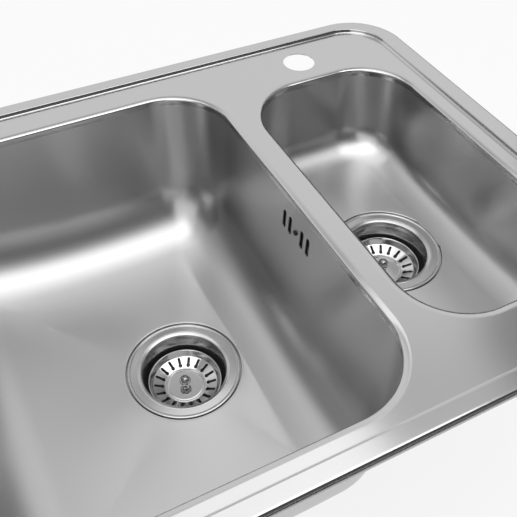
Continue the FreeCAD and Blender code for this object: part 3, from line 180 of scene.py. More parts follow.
class SinkStrainerSizes(bpy.types.PropertyGroup):
    """Sizes of the strainers, down from the top of their flanges."""

    flange: length("Flange", "Radius of the flange", 57.5)
    edge: length("Edge", "Half the width of the bead round the flange", 1.5)
    crown: length("Crown", "How far the flange is crowned at its throat", 0.36)
    throat: length("Throat", "Radius from the flange's inner slope into the cup", 1.4)
    cup: length("Cup", "Inside radius of the cup", 43)
    cup_wall: length("Cup wall", "Foot of the cup's wall", 23)
    cup_floor: length("Cup floor", "Level of the cup's floor", 33.7)
    cup_floor_radius: length("Cup floor radius", "Radius of the cup's floor", 30)
    hub: length("Hub", "Radius of the hole for the clamp screw", 5.3)
    outlet: length("Outlets", "Radius of the holes in the cup's floor", 5)
    outlet_circle: length("Outlet circle", "Circle of those holes", 15)
    basket: length("Basket", "Radius of the basket's rim", 38)
    basket_rim: length("Basket rim", "Level of the basket's rim", 19)
    basket_cone: length("Basket cone", "Level of the slotted cone's outer end", 24.7)
    basket_disc: length("Basket disc", "Level of the basket's flat centre", 29.5)
    slot_width: length("Slot width", "Width of the basket's slots", 3)
    slot_hole: length("Slot hole", "Radius of the hole at a slot's inner end", 2.1)
    slot_start: length("Slot start", "Inner end of the slots", 22)
    slot_end: length("Slot end", "Outer end of the slots", 32.5)
    ball: length("Ball", "Radius of the knob's ball", 6)
    ball_rise: length("Ball height", "Ball's centre above the basket", 8.5)


class SinkColours(bpy.types.PropertyGroup):
    """Colours of the materials."""

    satin: colour("Satin steel", "Brushed sheet", "cfcfcf")
    spun: colour("Spun steel", "Strainer cups", "c8c8c8")
    # Painted shade: the cups below the baskets' rims are coloured darker for the shade down there
    painted_shade_steel: colour("Dull steel", "Floors of the strainer cups", "747474")
    turned: colour("Turned steel", "Knobs of the baskets", "9c9c9c")
    polished: colour("Polished steel", "Strainer baskets", "d8d8d8")
    fastener: colour("Screw steel", "Stainless screws", "bdbdba")
    # Painted shade: the overflow screw is coloured dark for the shade that falls on its head
    painted_shade_screw: colour("Blackened steel", "Overflow screw", "3c3c3c")
    zinc: colour("Zinc", "Plated clips", "b4b8ba")
    brass: colour("Brass", "Moulded-in nuts", "b99a5b")
    plastic: colour("White plastic", "Waste fittings", "e6e6e2")
    nylon: colour("Grey nylon", "Basket stems", "8d8f90")
    rubber: colour("Black rubber", "Gaskets and sleeves", "1b1b1c")
    foam: colour("Seal foam", "Rim seal", "3a3a3b")
    bitumen: colour("Bitumen", "Sound-deadening pads", "2b2a29")
    floor: colour("Floor", "Studio floor", "f4f4f4")
    card: colour("Card", "Dark studio card", "2e2e2e")
    grey: colour("Grey card", "Grey studio card", "9c9c9c")
    slate: colour("Slate card", "Slate grey studio card", "5c5c5c")


class SinkStage(bpy.types.PropertyGroup):
    """Light of the stage."""

    world: amount("World", "Strength of the white surroundings near the horizon", 0.85)
    sky: amount("Sky", "Strength of the surroundings high up", 0.22)
    top_light: amount("Top light", "Power of the softbox overhead", 12)
    back_light: amount("Back light", "Power of the softbox over the sink's back", 3.6)


# Meshes

# How finely the meshes are divided
CORNER_STEPS = 48
SIDE_STEPS = 40
ROUND_STEPS = 8
LIP_STEPS = 16
WALL_STEPS = 6
TURN_STEPS = 18
FLOOR_STEPS = 24
SEAT_STEPS = 5
PAD_COLUMNS = 40
PAD_ROWS = 24
SLOT_STEPS = 12
BEAD_STEPS = 14
RING_STEPS = 6
BALL_STEPS = 24
TURNED_STEPS = 96
KNOB_STEPS = 48
TAP_HOLE_STEPS = 64
OUTLET_STEPS = 32
BLADE_STEPS = 16

# The map that holds the direction of brushing
BRUSH = "brush"

# Edges that turn by more than this stay sharp.
SHARP = math.radians(32)


def outline(width, length, corner, x=0.0, y=0.0):
    """Points and outward directions round a rounded rectangle, always the same number of them."""
    places, ways = [], []
    along, up = width / 2 - corner, length / 2 - corner
    middles = [(along, up), (-along, up), (-along, -up), (along, -up)]
    for quarter, (cx, cy) in enumerate(middles):
        for step in range(CORNER_STEPS + 1):
            turn = math.radians(90) * (quarter + step / CORNER_STEPS)
            way = Vector((math.cos(turn), math.sin(turn)))
            ways.append(way)
            places.append(Vector((x + cx, y + cy)) + way * corner)
        nx, ny = middles[(quarter + 1) % 4]
        finish = Vector((x + nx, y + ny)) + ways[-1] * corner
        start = places[-1]
        for step in range(1, SIDE_STEPS):
            ways.append(ways[-1])
            places.append(start.lerp(finish, step / SIDE_STEPS))
    return places, ways


def level_ring(shape, grow, z):
    """A rounded rectangle grown sideways, at a height. The shape is width, length, corner, x, y."""
    width, length, corner, x, y = shape
    places, ways = outline(width + 2 * grow, length + 2 * grow, corner + grow, x, y)
    return [place.to_3d() + Vector((0, 0, z)) for place in places]


def arc(x, z, radius, start, end, steps=ROUND_STEPS, rise=None):
    """Points on an arc in a section, angles in degrees. With a rise it is part of an ellipse."""
    turns = [math.radians(start + (end - start) * step / steps) for step in range(steps + 1)]
    rise = radius if rise is None else rise
    return [(x + radius * math.cos(turn), z + rise * math.sin(turn)) for turn in turns]


def turn_between(start, corner, end, steps):
    """Points on a quarter of an ellipse in a section, tangent to the two lines that meet at a corner."""
    points = []
    weight = math.sqrt(0.5)
    for step in range(steps + 1):
        t = step / steps
        parts = ((1 - t) ** 2, 2 * weight * t * (1 - t), t ** 2)
        points.append((start * parts[0] + corner * parts[1] + end * parts[2]) / sum(parts))
    return points


def circle(x, y, z, radius, count):
    """A level circle of points round an upright axis."""
    turns = [2 * math.pi * step / count for step in range(count)]
    return [Vector((x + radius * math.cos(t), y + radius * math.sin(t), z)) for t in turns]


def new_mesh():
    """An empty mesh with a map for the direction of brushing."""
    mesh = bmesh.new()
    mesh.loops.layers.uv.new(BRUSH)
    return mesh


def add_rings(mesh, rings, around=False):
    """Add closed rings of points and skin each to the next, and around also the last to the first.

    The brush map runs from ring to ring along U and along the rings on V, in metres.
    """
    brush = mesh.loops.layers.uv[BRUSH]
    made = [[mesh.verts.new(point) for point in ring] for ring in rings]
    count = len(made[0])
    along = [0.0]
    for i in range(count):
        along.append(along[-1] + (rings[0][(i + 1) % count] - rings[0][i]).length)
    across = [0.0] * count
    chain = made + made[:1] if around else made
    for low, high in zip(chain, chain[1:]):
        further = [u + (b.co - a.co).length for u, a, b in zip(across, low, high)]
        for i in range(count):
            k = (i + 1) % count
            face = mesh.faces.new((low[i], low[k], high[k], high[i]))
            spots = ((across[i], along[i]), (across[k], along[i + 1]),
                     (further[k], along[i + 1]), (further[i], along[i]))
            for loop, spot in zip(face.loops, spots):
                loop[brush].uv = spot
        across = further
    return made


def add_rod(mesh, rings):
    """Add closed rings of points as a rod with flat ends."""
    made = add_rings(mesh, rings)
    mesh.faces.new(made[0])
    mesh.faces.new(made[-1])


def fill_between(mesh, rings):
    """Fill the flat space inside the first ring and outside the others."""
    edges = []
    for ring in rings:
        count = len(ring)
        edges += [mesh.edges.get((ring[i], ring[(i + 1) % count])) for i in range(count)]
    brush = mesh.loops.layers.uv[BRUSH]
    filled = bmesh.ops.triangle_fill(mesh, use_beauty=True, edges=edges)["geom"]
    for face in filled:
        if isinstance(face, bmesh.types.BMFace):
            for loop in face.loops:
                loop[brush].uv = (loop.vert.co.y, loop.vert.co.x)


def turned(section, x, y, top, count=TURNED_STEPS):
    """Rings of a turned shape from its section of radius and level, in metres below or above its top."""
    return [circle(x, y, top + z, r, count) for r, z in section]


def in_metres(section):
    """A section written in millimetres."""
    return [(r * MM, z * MM) for r, z in section]


def finish_piece(name, mesh, material, body, replaced=None):
    """Turn a mesh into a piece of the object that rides on a CAD body."""
    bmesh.ops.recalc_face_normals(mesh, faces=mesh.faces)
    data = bpy.data.meshes.new(name)
    mesh.to_mesh(data)
    mesh.free()
    piece = bpy.data.objects.new(name, data)
    bpy.context.scene.collection.objects.link(piece)
    smooth(piece)
    data.materials.append(material)
    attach(piece, body)
    if replaced:
        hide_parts(replaced)
    return piece


def smooth(piece):
    """Shade a piece smooth, with its real edges left sharp."""
    piece.data.polygons.foreach_set("use_smooth", [True] * len(piece.data.polygons))
    piece.data.set_sharp_from_angle(angle=SHARP)


def cut(piece, tool_mesh):
    """Take a tool's shape out of a piece."""
    data = bpy.data.meshes.new("cutter")
    bmesh.ops.recalc_face_normals(tool_mesh, faces=tool_mesh.faces)
    tool_mesh.to_mesh(data)
    tool_mesh.free()
    tool = bpy.data.objects.new("cutter", data)
    bpy.context.scene.collection.objects.link(tool)
    knife = piece.modifiers.new("cut", "BOOLEAN")
    knife.object = tool
    knife.solver = "EXACT"
    graph = bpy.context.evaluated_depsgraph_get()
    old = piece.data
    piece.data = bpy.data.meshes.new_from_object(piece.evaluated_get(graph))
    piece.modifiers.clear()
    bpy.data.objects.remove(tool)
    bpy.data.meshes.remove(data)
    bpy.data.meshes.remove(old)
    smooth(piece)


# Materials


def node(tree, kind, settings=(), values=(), links=()):
    """Add a node, with its settings, its sockets' values and the sockets linked into it."""
    made = tree.nodes.new(kind)
    for key, value in dict(settings).items():
        setattr(made, key, value)
    for key, value in dict(values).items():
        made.inputs[key].default_value = value
    for key, source in dict(links).items():
        tree.links.new(source, made.inputs[key])
    return made


def start_material(name, base, metallic, roughness):
    """A new material with its shader's constant values set, its nodes and its shader."""
    material = bpy.data.materials.new(name)
    material.use_nodes = True
    shader = material.node_tree.nodes["Principled BSDF"]
    shader.inputs["Base Color"].default_value = (*base, 1)
    shader.inputs["Metallic"].default_value = metallic
    shader.inputs["Roughness"].default_value = roughness
    return material, material.node_tree, shader


def per_metre(*sizes):
    """Pattern scale along each axis from the pattern's sizes in millimetres."""
    return [1 / (size * MM) for size in sizes]


def brushed_steel(name, base, low, high, stretch, line, run):
    """Stainless sheet brushed along its outline: reflections drawn out across the brush lines.

    Line and run are the brush lines' width and length in millimetres, low and high the limits of the
    roughness, and stretch is how far the reflections are drawn out.
    """
    material, tree, shader = start_material(name, base, 1, (low + high) / 2)
    shader.inputs["Anisotropic"].default_value = stretch
    across = node(tree, "ShaderNodeTangent", {"direction_type": "UV_MAP", "uv_map": BRUSH})
    tree.links.new(across.outputs["Tangent"], shader.inputs["Tangent"])
    place = node(tree, "ShaderNodeUVMap", {"uv_map": BRUSH}).outputs["UV"]
    # The lines are drawn coarser than the real 0.05 mm grit, so that they show.
    lines = node(tree, "ShaderNodeMapping", values={"Scale": per_metre(line, run, 1)},
                 links={"Vector": place})
    brush = node(tree, "ShaderNodeTexNoise", values={"Scale": 1, "Detail": 3, "Roughness": 0.6},
                 links={"Vector": lines.outputs["Vector"]})
    spread = node(tree, "ShaderNodeMapRange", values={"To Min": low, "To Max": high},
                  links={"Value": brush.outputs["Fac"]})
    tree.links.new(spread.outputs["Result"], shader.inputs["Roughness"])
    dents = node(tree, "ShaderNodeBump", values={"Strength": 0.01, "Distance": 0.02 * MM},
                 links={"Height": brush.outputs["Fac"]})
    tree.links.new(dents.outputs["Normal"], shader.inputs["Normal"])
    return material


# Sockets of a Mix node that mixes two colours
MIX_FIRST = 6
MIX_SECOND = 7
MIX_RESULT = 2

# A patch of darker colour is this many grains across.
PATCH_GRAINS = 12


def grained(name, base, metallic, low, high, grain, height, shades):
    """A surface with an even grain, its size and height in millimetres.

    Low and high are the limits of the roughness, and shades is how far the colour darkens in patches.
    """
    material, tree, shader = start_material(name, base, metallic, (low + high) / 2)
    place = node(tree, "ShaderNodeTexCoord").outputs["Object"]
    grains = node(tree, "ShaderNodeTexNoise", values={"Scale": per_metre(grain)[0], "Detail": 3},
                  links={"Vector": place})
    spread = node(tree, "ShaderNodeMapRange", values={"To Min": low, "To Max": high},
                  links={"Value": grains.outputs["Fac"]})
    tree.links.new(spread.outputs["Result"], shader.inputs["Roughness"])
    dents = node(tree, "ShaderNodeBump", values={"Strength": 0.5, "Distance": height * MM},
                 links={"Height": grains.outputs["Fac"]})
    tree.links.new(dents.outputs["Normal"], shader.inputs["Normal"])
    patch = node(tree, "ShaderNodeTexNoise",
                 values={"Scale": per_metre(grain * PATCH_GRAINS)[0], "Detail": 2},
                 links={"Vector": place})
    darker = [c * (1 - shades) for c in base]
    tint = node(tree, "ShaderNodeMix", {"data_type": "RGBA"},
                {MIX_FIRST: (*darker, 1), MIX_SECOND: (*base, 1)}, {"Factor": patch.outputs["Fac"]})
    tree.links.new(tint.outputs[MIX_RESULT], shader.inputs["Base Color"])
    return material


BRUSHED = {
    # Sheet brushed to a satin: soft reflections, drawn out a little across the brush lines
    "stainless_steel_satin_deck": {
        "colour": "satin", "low": 0.165, "high": 0.18, "stretch": 0.3, "line": 0.6, "run": 60},
    # The same sheet after deep drawing: duller, with broad streaks of light across the brushing
    "stainless_steel_satin_bowls": {
        "colour": "satin", "low": 0.28, "high": 0.295, "stretch": 0.68, "line": 0.6, "run": 60},
    # Cups smoothed as they spin: fairly clear reflections, drawn out a little from fine rings
    "stainless_steel_spun_cups": {
        "colour": "spun", "low": 0.19, "high": 0.22, "stretch": 0.3, "line": 0.4, "run": 30},
    # Pressings polished bright: clear reflections and sharp lights on the slotted cone
    "stainless_steel_polished_baskets": {
        "colour": "polished", "low": 0.1, "high": 0.13, "stretch": 0.3, "line": 0.4, "run": 30},
}
GRAINED = {
    # Painted shade: the cups' steel below the baskets, coloured dark for the shade that falls there, and
    # rough, with no clear reflection
    "stainless_steel_cup_painted_shade": {
        "colour": "painted_shade_steel", "metallic": 1, "low": 0.5, "high": 0.6,
        "grain": 0.4, "height": 0.01, "shades": 0.1},
    # Steel turned and buffed: small clear reflections in a darker metal
    "stainless_steel_turned_knobs": {
        "colour": "turned", "metallic": 1, "low": 0.06, "high": 0.09,
        "grain": 0.4, "height": 0.005, "shades": 0.05},
    # Screws with rolled threads: bright metal with a slightly uneven gloss
    "stainless_steel_rolled_screws": {
        "colour": "fastener", "metallic": 1, "low": 0.2, "high": 0.32,
        "grain": 0.5, "height": 0.01, "shades": 0.05},
    # Painted shade: the overflow screw coloured dark grey for the shade that falls on its head, with a muted
    # gloss
    "steel_screw_painted_shade": {
        "colour": "painted_shade_screw", "metallic": 1, "low": 0.3, "high": 0.42,
        "grain": 0.5, "height": 0.01, "shades": 0.1},
    # Zinc plating: pale blue grey with cloudy patches
    "steel_zinc_plated": {
        "colour": "zinc", "metallic": 1, "low": 0.28, "high": 0.45,
        "grain": 1.5, "height": 0.02, "shades": 0.2},
    # Turned brass: warm yellow metal with a soft gloss
    "brass_turned": {
        "colour": "brass", "metallic": 1, "low": 0.22, "high": 0.34,
        "grain": 0.4, "height": 0.01, "shades": 0.1},
    # Moulded polypropylene: white, with the soft gloss of wax
    "polypropylene_moulded_white": {
        "colour": "plastic", "metallic": 0, "low": 0.35, "high": 0.5,
        "grain": 0.8, "height": 0.02, "shades": 0.04},
    # Moulded nylon: an even grey with a low gloss
    "nylon_moulded_grey": {
        "colour": "nylon", "metallic": 0, "low": 0.4, "high": 0.55,
        "grain": 0.6, "height": 0.02, "shades": 0.05},
    # Moulded rubber: nearly black and matt
    "nitrile_rubber_moulded_black": {
        "colour": "rubber", "metallic": 0, "low": 0.5, "high": 0.65,
        "grain": 0.5, "height": 0.03, "shades": 0.15},
    # Foam with closed cells: dark grey with no gloss, and small cells at its skin
    "polyethylene_foam_strip": {
        "colour": "foam", "metallic": 0, "low": 0.8, "high": 0.95,
        "grain": 0.6, "height": 0.15, "shades": 0.2},
    # Felt soaked in bitumen: nearly black, matt and coarse
    "bitumen_felt_pad": {
        "colour": "bitumen", "metallic": 0, "low": 0.7, "high": 0.9,
        "grain": 1.2, "height": 0.2, "shades": 0.3},
}


def material_for(context, name):
    """A material from the two lists, made when a piece first asks for it."""
    made = bpy.data.materials.get(name)
    if made:
        return made
    make = brushed_steel if name in BRUSHED else grained
    values = dict(BRUSHED.get(name) or GRAINED[name])
    base = getattr(context.scene.sink_colours, values.pop("colour"))
    return make(name, base, **values)


def dress(context, names, material):
    """Give CAD nodes that stay a material."""
    for name in names:
        piece = NODES[name]
        piece.data.materials.clear()
        piece.data.materials.append(material_for(context, material))


# Pieces


def middle_line(context):
    """Where the bowls' centre line lies."""
    return -context.scene.sink_sheet.bowl_line


def opening(context, name):
    """A bowl's opening: width, length, corner and middle."""
    sizes = getattr(context.scene, f"sink_{name}")
    x = middle(f"{name}_bowl").x
    return (sizes.width, sizes.length, sizes.corner, x, middle_line(context))


class SINK_OT_deck(bpy.types.Operator):
    """Build the pressed deck with its raised rim and bowl lips"""

    bl_idname = "sink.deck"
    bl_label = "Deck"

    def execute(self, context):
        s = context.scene.sink_sheet
        steel = material_for(context, "stainless_steel_satin_deck")
        rim = (s.length, s.depth, s.corner, 0, 0)
        step = (s.length - 2 * s.band_side, s.depth - 2 * s.band_front, s.corner - s.band_front, 0, 0)
        mesh = new_mesh()
        top, deck, sheet = s.rim_height, s.deck_height, s.steel
        r, q, foot = s.rim_round, s.step_top, s.step_foot
        # A narrow flat strip beside a bend keeps the shading of the flat faces even.
        guard = 1 * MM
        upper = [(rim, 0, 0)]
        upper += [(rim, d, z) for d, z in arc(-r, top - r, r, 0, 90)]
        upper += [(rim, -r - guard, top), (step, q + guard, top)]
        upper += [(step, d, z) for d, z in arc(q, top - q, q, 90, 180)]
        upper += [(step, d, z) for d, z in arc(-foot, deck + foot, foot, 0, -90)]
        upper += [(step, -foot - guard, deck)]
        lower = [(step, -foot - guard, deck - sheet)]
        lower += [(step, d, z) for d, z in arc(-foot, deck + foot, foot + sheet, -90, 0)]
        lower += [(step, d, z) for d, z in arc(q, top - q, q - sheet, 180, 90)]
        lower += [(rim, d, z) for d, z in arc(-r, top - r, r - sheet, 90, 0)]
        lower += [(rim, -sheet, 0)]
        rings = add_rings(mesh, [level_ring(*ring) for ring in lower + upper])
        flat_top, flat_under = [rings[-1]], [rings[0]]
        for name in BOWLS:
            hole = opening(context, name)
            lip, drop = s.lip_width, s.lip_drop
            seam = deck - s.seam
            inside = [(hole, lip + guard, deck)]
            over = arc(lip, deck - drop, lip, 90, 180, LIP_STEPS, drop)
            under = arc(lip, deck - drop, lip - sheet, 180, 90, LIP_STEPS, drop - sheet)
            inside += [(hole, d, z) for d, z in over]
            inside += [(hole, 0, seam), (hole, sheet, seam)]
            inside += [(hole, d, z) for d, z in under]
            inside += [(hole, lip + guard, deck - sheet)]
            rings = add_rings(mesh, [level_ring(*ring) for ring in inside])
            flat_top.append(rings[0])
            flat_under.append(rings[-1])
        # The tap hole lies midway between the half bowl and the step.
        width, length, corner, x, y = opening(context, "half")
        hole_y = (y + length / 2 + s.depth / 2 - s.band_front) / 2
        levels = (deck, deck - sheet)
        rings = add_rings(mesh, [circle(x, hole_y, z, s.tap_hole, TAP_HOLE_STEPS) for z in levels])
        flat_top.append(rings[0])
        flat_under.append(rings[1])
        fill_between(mesh, flat_top)
        fill_between(mesh, flat_under)
        finish_piece("deck_sheet", mesh, steel, ROOT_BODY, "deck")
        return {"FINISHED"}


# A floor's dish is measured this far out from the edge of its waste's seat.
DISH_REACH = 91.5 * MM
# Across a floor the brushing leaves the wall squarely and bends to the waste over this share of the way.
BEND_SHARE = 0.2
# The corner between a wall and a dished floor is settled in this many rounds.
SETTLE_ROUNDS = 8


def bowl_rings(context, name, grow):
    """Rings down a bowl's wall and over its floor to the seat of the waste, on a face grown outwards.

    Also gives the direction from the waste to each of a ring's points, and the waste's middle.
    """
    s = context.scene.sink_sheet
    sizes = getattr(context.scene, f"sink_{name}")
    width, length, radius, x, y = opening(context, name)
    places, ways = outline(width + 2 * grow, length + 2 * grow, radius + grow, x, y)
    drain = middle(f"{name}_strainer_cup").to_2d()
    seam = s.deck_height - s.seam
    fall = math.tan(s.floor_fall)
    lean = math.tan(sizes.draft)
    reach, rise = sizes.floor_reach + grow, sizes.floor_rise + grow
    seat_edge = s.recess + (grow if grow else s.recess_round)
    point = s.deck_height - sizes.depth - s.recess * fall - grow

    def floor(place):
        away = (place - drain).length
        return point + fall * away + sizes.floor_dish * (max(0, away - s.recess) / DISH_REACH) ** 2

    columns, directions = [], []
    for place, way in zip(places, ways):
        # Inwards from the wall's top edge and upwards: where wall and floor would meet without a turn
        corner = Vector((0, 0))
        for attempt in range(SETTLE_ROUNDS):
            spot = place - way * (corner.x + reach)
            on_floor = Vector((corner.x + reach, floor(spot)))
            slope = (floor(spot + way * MM) - on_floor.y) / MM
            corner.y = on_floor.y + slope * reach
            corner.x = (seam - corner.y) * lean
        on_wall = corner + Vector((-lean, 1)) * rise
        shares = [step / WALL_STEPS for step in range(WALL_STEPS)]
        section = [on_wall * t + Vector((0, seam)) * (1 - t) for t in shares]
        section += turn_between(on_wall, corner, on_floor, TURN_STEPS)
        column = [(place - way * d).to_3d() + Vector((0, 0, z)) for d, z in section]
        foot = column[-1].to_2d()
        towards = (place - drain).normalized()
        last = drain + towards * seat_edge
        bend = (foot - last).length * BEND_SHARE
        handles = (foot, foot - way * bend, last + towards * bend, last)
        path = interpolate_bezier(*(handle.to_3d() for handle in handles), FLOOR_STEPS + 1)
        column += [spot + Vector((0, 0, floor(spot.to_2d()))) for spot in path[1:]]
        columns.append(column)
        directions.append(towards)
    return [list(ring) for ring in zip(*columns)], directions, drain


class SINK_OT_bowls(bpy.types.Operator):
    """Build the two drawn bowls with their floors, waste seats and overflow slots"""

    bl_idname = "sink.bowls"
    bl_label = "Bowls"

    def execute(self, context):
        s = context.scene.sink_sheet
        steel = material_for(context, "stainless_steel_satin_bowls")
        for name in BOWLS:
            sizes = getattr(context.scene, f"sink_{name}")
            floor = s.deck_height - sizes.depth
            inner, towards, drain = bowl_rings(context, name, 0)
            outer, towards, drain = bowl_rings(context, name, s.steel)
            r = s.recess_round
            seat = arc(s.recess + r, floor - r, r, 90, 180, SEAT_STEPS)[1:]
            under = floor - s.recess_depth - s.steel
            seat += [(s.recess, floor - s.recess_depth), (s.drain, floor - s.recess_depth)]
            seat += [(s.drain, under), (s.recess + s.steel, under)]
            rounds = [[(drain + way * d).to_3d() + Vector((0, 0, z)) for way in towards] for d, z in seat]
            mesh = new_mesh()
            add_rings(mesh, inner + rounds + outer[::-1], around=True)
            piece = finish_piece(f"{name}_bowl_shell", mesh, steel, ROOT_BODY,
                                 f"{name}_bowl")
            if name == "main":
                cut(piece, overflow_tool(context))
        return {"FINISHED"}


# The overflow's cutters reach this far to each side of the wall's top edge.
OVERFLOW_MARGIN = 10 * MM


def overflow_tool(context):
    """The shape of the overflow slots and screw hole, through the main bowl's right wall."""
    sizes = context.scene.sink_main
    width, length, corner, x, y = opening(context, "main")
    z = middle("overflow_screw").z
    mesh = new_mesh()
    right = x + width / 2
    # Two slots lie on each side of the screw's hole.
    for place in (-2, -1, 0, 1, 2):
        if place:
            radius = sizes.slot_width / 2
            half = sizes.slot_length / 2 - radius
            section = arc(0, half, radius, 0, 180, SLOT_STEPS) + arc(0, -half, radius, 180, 360, SLOT_STEPS)
        else:
            section = arc(0, 0, sizes.screw_hole, 0, 330, SLOT_STEPS - 1)
        middle_y = y + place * sizes.slot_pitch
        ends = (right - OVERFLOW_MARGIN, right + OVERFLOW_MARGIN)
        add_rod(mesh, [[Vector((end, middle_y + d, z + h)) for d, h in section] for end in ends])
    return mesh


class SINK_OT_pads(bpy.types.Operator):
    """Lay the sound-deadening pads on the bowls' walls"""

    bl_idname = "sink.pads"
    bl_label = "Pads"

    def execute(self, context):
        s = context.scene.sink_sheet
        bitumen = material_for(context, "bitumen_felt_pad")
        for name, bowl, way in (
            ("main_left", "main", Vector((-1, 0, 0))),
            ("main_back", "main", Vector((0, 1, 0))),
            ("half_right", "half", Vector((1, 0, 0))),
        ):
            shell = bpy.data.objects[f"{bowl}_bowl_shell"]
            wall = BVHTree.FromObject(shell, context.evaluated_depsgraph_get())
            mesh = bmesh.new()
            glued = pad_face(mesh, wall, f"{name}_sound_pad", way, 0, 0)
            bare = pad_face(mesh, wall, f"{name}_sound_pad", way, s.pad_edge, s.pad)
            for i in range(len(glued)):
                mesh.faces.new((glued[i - 1], glued[i], bare[i], bare[i - 1]))
            finish_piece(f"{name}_felt_pad", mesh, bitumen, ROOT_BODY,
                         f"{name}_sound_pad")
        return {"FINISHED"}


# The wall below a pad is looked for from this far outside.
PAD_CLEARANCE = 50 * MM


def pad_face(mesh, wall, name, way, inset, lift):
    """Add one face of a pad, bent to a bowl's wall and lifted off it, and give the points of its border."""
    low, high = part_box(name)
    start = middle(name) + way * PAD_CLEARANCE
    along = Vector((0, 0, 1)).cross(way)
    half = abs((high - low).dot(along)) / 2 - inset
    rows = []
    for row in range(PAD_ROWS + 1):
        height = low.z + inset + (high.z - low.z - 2 * inset) * row / PAD_ROWS
        rows.append([])
        for column in range(PAD_COLUMNS + 1):
            spot = start + along * half * (2 * column / PAD_COLUMNS - 1)
            spot.z = height
            place, normal, index, distance = wall.ray_cast(spot, -way)
            rows[-1].append(mesh.verts.new(place + normal * lift))
    for lower, upper in zip(rows, rows[1:]):
        for i in range(PAD_COLUMNS):
            mesh.faces.new((lower[i], lower[i + 1], upper[i + 1], upper[i]))
    sides = [row[-1] for row in rows[1:-1]], [row[0] for row in rows[-2:0:-1]]
    return rows[0] + sides[0] + rows[-1][::-1] + sides[1]


class SINK_OT_strainers(bpy.types.Operator):
    """Build the strainer cups, baskets and knobs, and finish their stems and seals"""

    bl_idname = "sink.strainers"
    bl_label = "Strainers"

    def execute(self, context):
        s = context.scene.sink_strainer
        spun = material_for(context, "stainless_steel_spun_cups")
        painted_shade_steel = material_for(context, "stainless_steel_cup_painted_shade")
        polished = material_for(context, "stainless_steel_polished_baskets")
        bright = material_for(context, "stainless_steel_turned_knobs")
        for name in BOWLS:
            unit = f"{name}_basket_unit"
            x, y = middle(f"{name}_strainer_cup").to_2d()
            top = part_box(f"{name}_strainer_cup")[1].z
            mesh = new_mesh()
            add_rings(mesh, turned(cup_section(s), x, y, top), around=True)
            cup = finish_piece(f"{name}_cup_pressing", mesh, spun, ROOT_BODY,
                               f"{name}_strainer_cup")
            cut(cup, outlet_tool(s, x, y, top))
            # Painted shade: the cup's faces below the basket's rim take a darker steel that stands in for
            # the shade there
            cup.data.materials.append(painted_shade_steel)
            for face in cup.data.polygons:
                face.material_index = int(face.center.z < top - s.basket_rim)
            mesh = new_mesh()
            add_rings(mesh, turned(basket_section(s), x, y, top), around=True)
            basket = finish_piece(f"{name}_basket_pressing", mesh, polished, unit,
                                  f"{name}_basket")
            cut(basket, slot_tool(s, x, y, top))
            mesh = new_mesh()
            add_rod(mesh, turned(knob_section(s), x, y, top, KNOB_STEPS))
            finish_piece(f"{name}_knob_turning", mesh, bright, unit,
                         f"{name}_basket_knob")
            dress(context, [f"{name}_basket_stem"], "nylon_moulded_grey")
            dress(context, [f"{name}_basket_seal"], "nitrile_rubber_moulded_black")
        return {"FINISHED"}


def cup_section(s):
    """Section of a strainer cup: flange, groove, throat, tapered wall, floor and the outside back up."""
    edge, cup, crown = s.edge / MM, s.cup / MM, s.crown / MM
    flange, wall, floor = s.flange / MM, -s.cup_wall / MM, -s.cup_floor / MM
    flat, hub, throat = s.cup_floor_radius / MM, s.hub / MM, s.throat / MM
    bead = arc(flange - edge, 0, edge, -40, 165, BEAD_STEPS, edge / 2)
    crowned = [(cup + 11.3, 0.02)]
    crowned += [(cup + 11 - 6.3 * t, crown * t) for t in (0, 0.06, 0.2, 0.5, 0.8, 0.94, 1)]
    groove = [(cup + 4.5, crown - 0.12), (cup + 4.3, crown - 0.12), (cup + 4.1, crown), (cup + 3.9, crown)]
    slope = [(cup + 2.7, crown - 0.36), (cup + 1.5, crown - 0.75)]
    slope += arc(cup + throat, crown - 0.85 - throat, throat, 108, 180)
    ledge = [(cup - 0.1, -5.5), (cup - 0.45, -6.2), (cup - 0.5, -7)]
    taper = [(cup - 1.5, -17.5), (cup - 1.8, wall + 0.6), (cup - 2.2, wall - 0.5)]
    bottom = [(flat + 0.8, floor + 0.6), (flat - 0.5, floor), (hub, floor)]
    outside = [(hub, floor - 1), (flat + 0.5, floor - 1), (cup + 1, wall), (cup + 1, -4.2)]
    under = [(cup + 1.5, -2.9), (cup + 2.4, -2.25), (cup + 3.5, -2), (cup + 5, -1.45), (flange - 0.6, -1.02)]
    return in_metres(bead + crowned + groove + slope + ledge + taper + bottom + outside + under)


def basket_section(s):
    """Section of a strainer basket: beaded rim, steep wall, slotted cone and a flat centre in a ring."""
    rim, level, disc = s.basket / MM, -s.basket_rim / MM, -s.basket_disc / MM
    cone, outer, inner = -s.basket_cone / MM, s.slot_end / MM + 0.5, s.slot_start / MM - 0.4
    bead = arc(rim - 0.7, level - 0.35, 0.7, -60, 150)
    wall = [(rim - 2, level - 0.6), (outer + 0.6, cone + 0.5), (outer + 0.2, cone + 0.1)]
    slotted = [(outer, cone), (inner, disc + 0.5), (inner - 0.4, disc + 0.3)]
    ring = arc(inner - 1.4, disc + 0.05, 0.75, 20, 160, RING_STEPS)
    ring += [(inner - 2.4, disc - 0.1), (inner - 3, disc - 0.25), (inner - 3.6, disc - 0.1)]
    centre = [(inner - 4.2, disc), (inner - 5, disc), (2.3, disc)]
    under = [(2.3, disc - 0.9), (20, disc - 0.9), (outer + 0.9, cone - 0.45), (rim - 1.1, level - 0.9)]
    return in_metres(bead + wall + slotted + ring + centre + under)


def knob_section(s):
    """Section of a basket knob from its spigot to the top of its ball."""
    disc, ball = -s.basket_disc / MM, s.ball / MM
    centre = disc + s.ball_rise / MM
    spigot = [(2, disc - 8), (2, disc)]
    foot = [(4.4, disc), (4.3, disc + 0.9), (2.9, disc + 1.5)]
    return in_metres(spigot + foot + arc(0, centre, ball, -64, 88.5, BALL_STEPS))


# Holes in a cup's floor and slots in a basket, and how far their cutters reach below and above
OUTLETS = 6
OUTLET_MARGIN = 3 * MM
SLOTS = 18
SLOT_MARGIN = 4 * MM


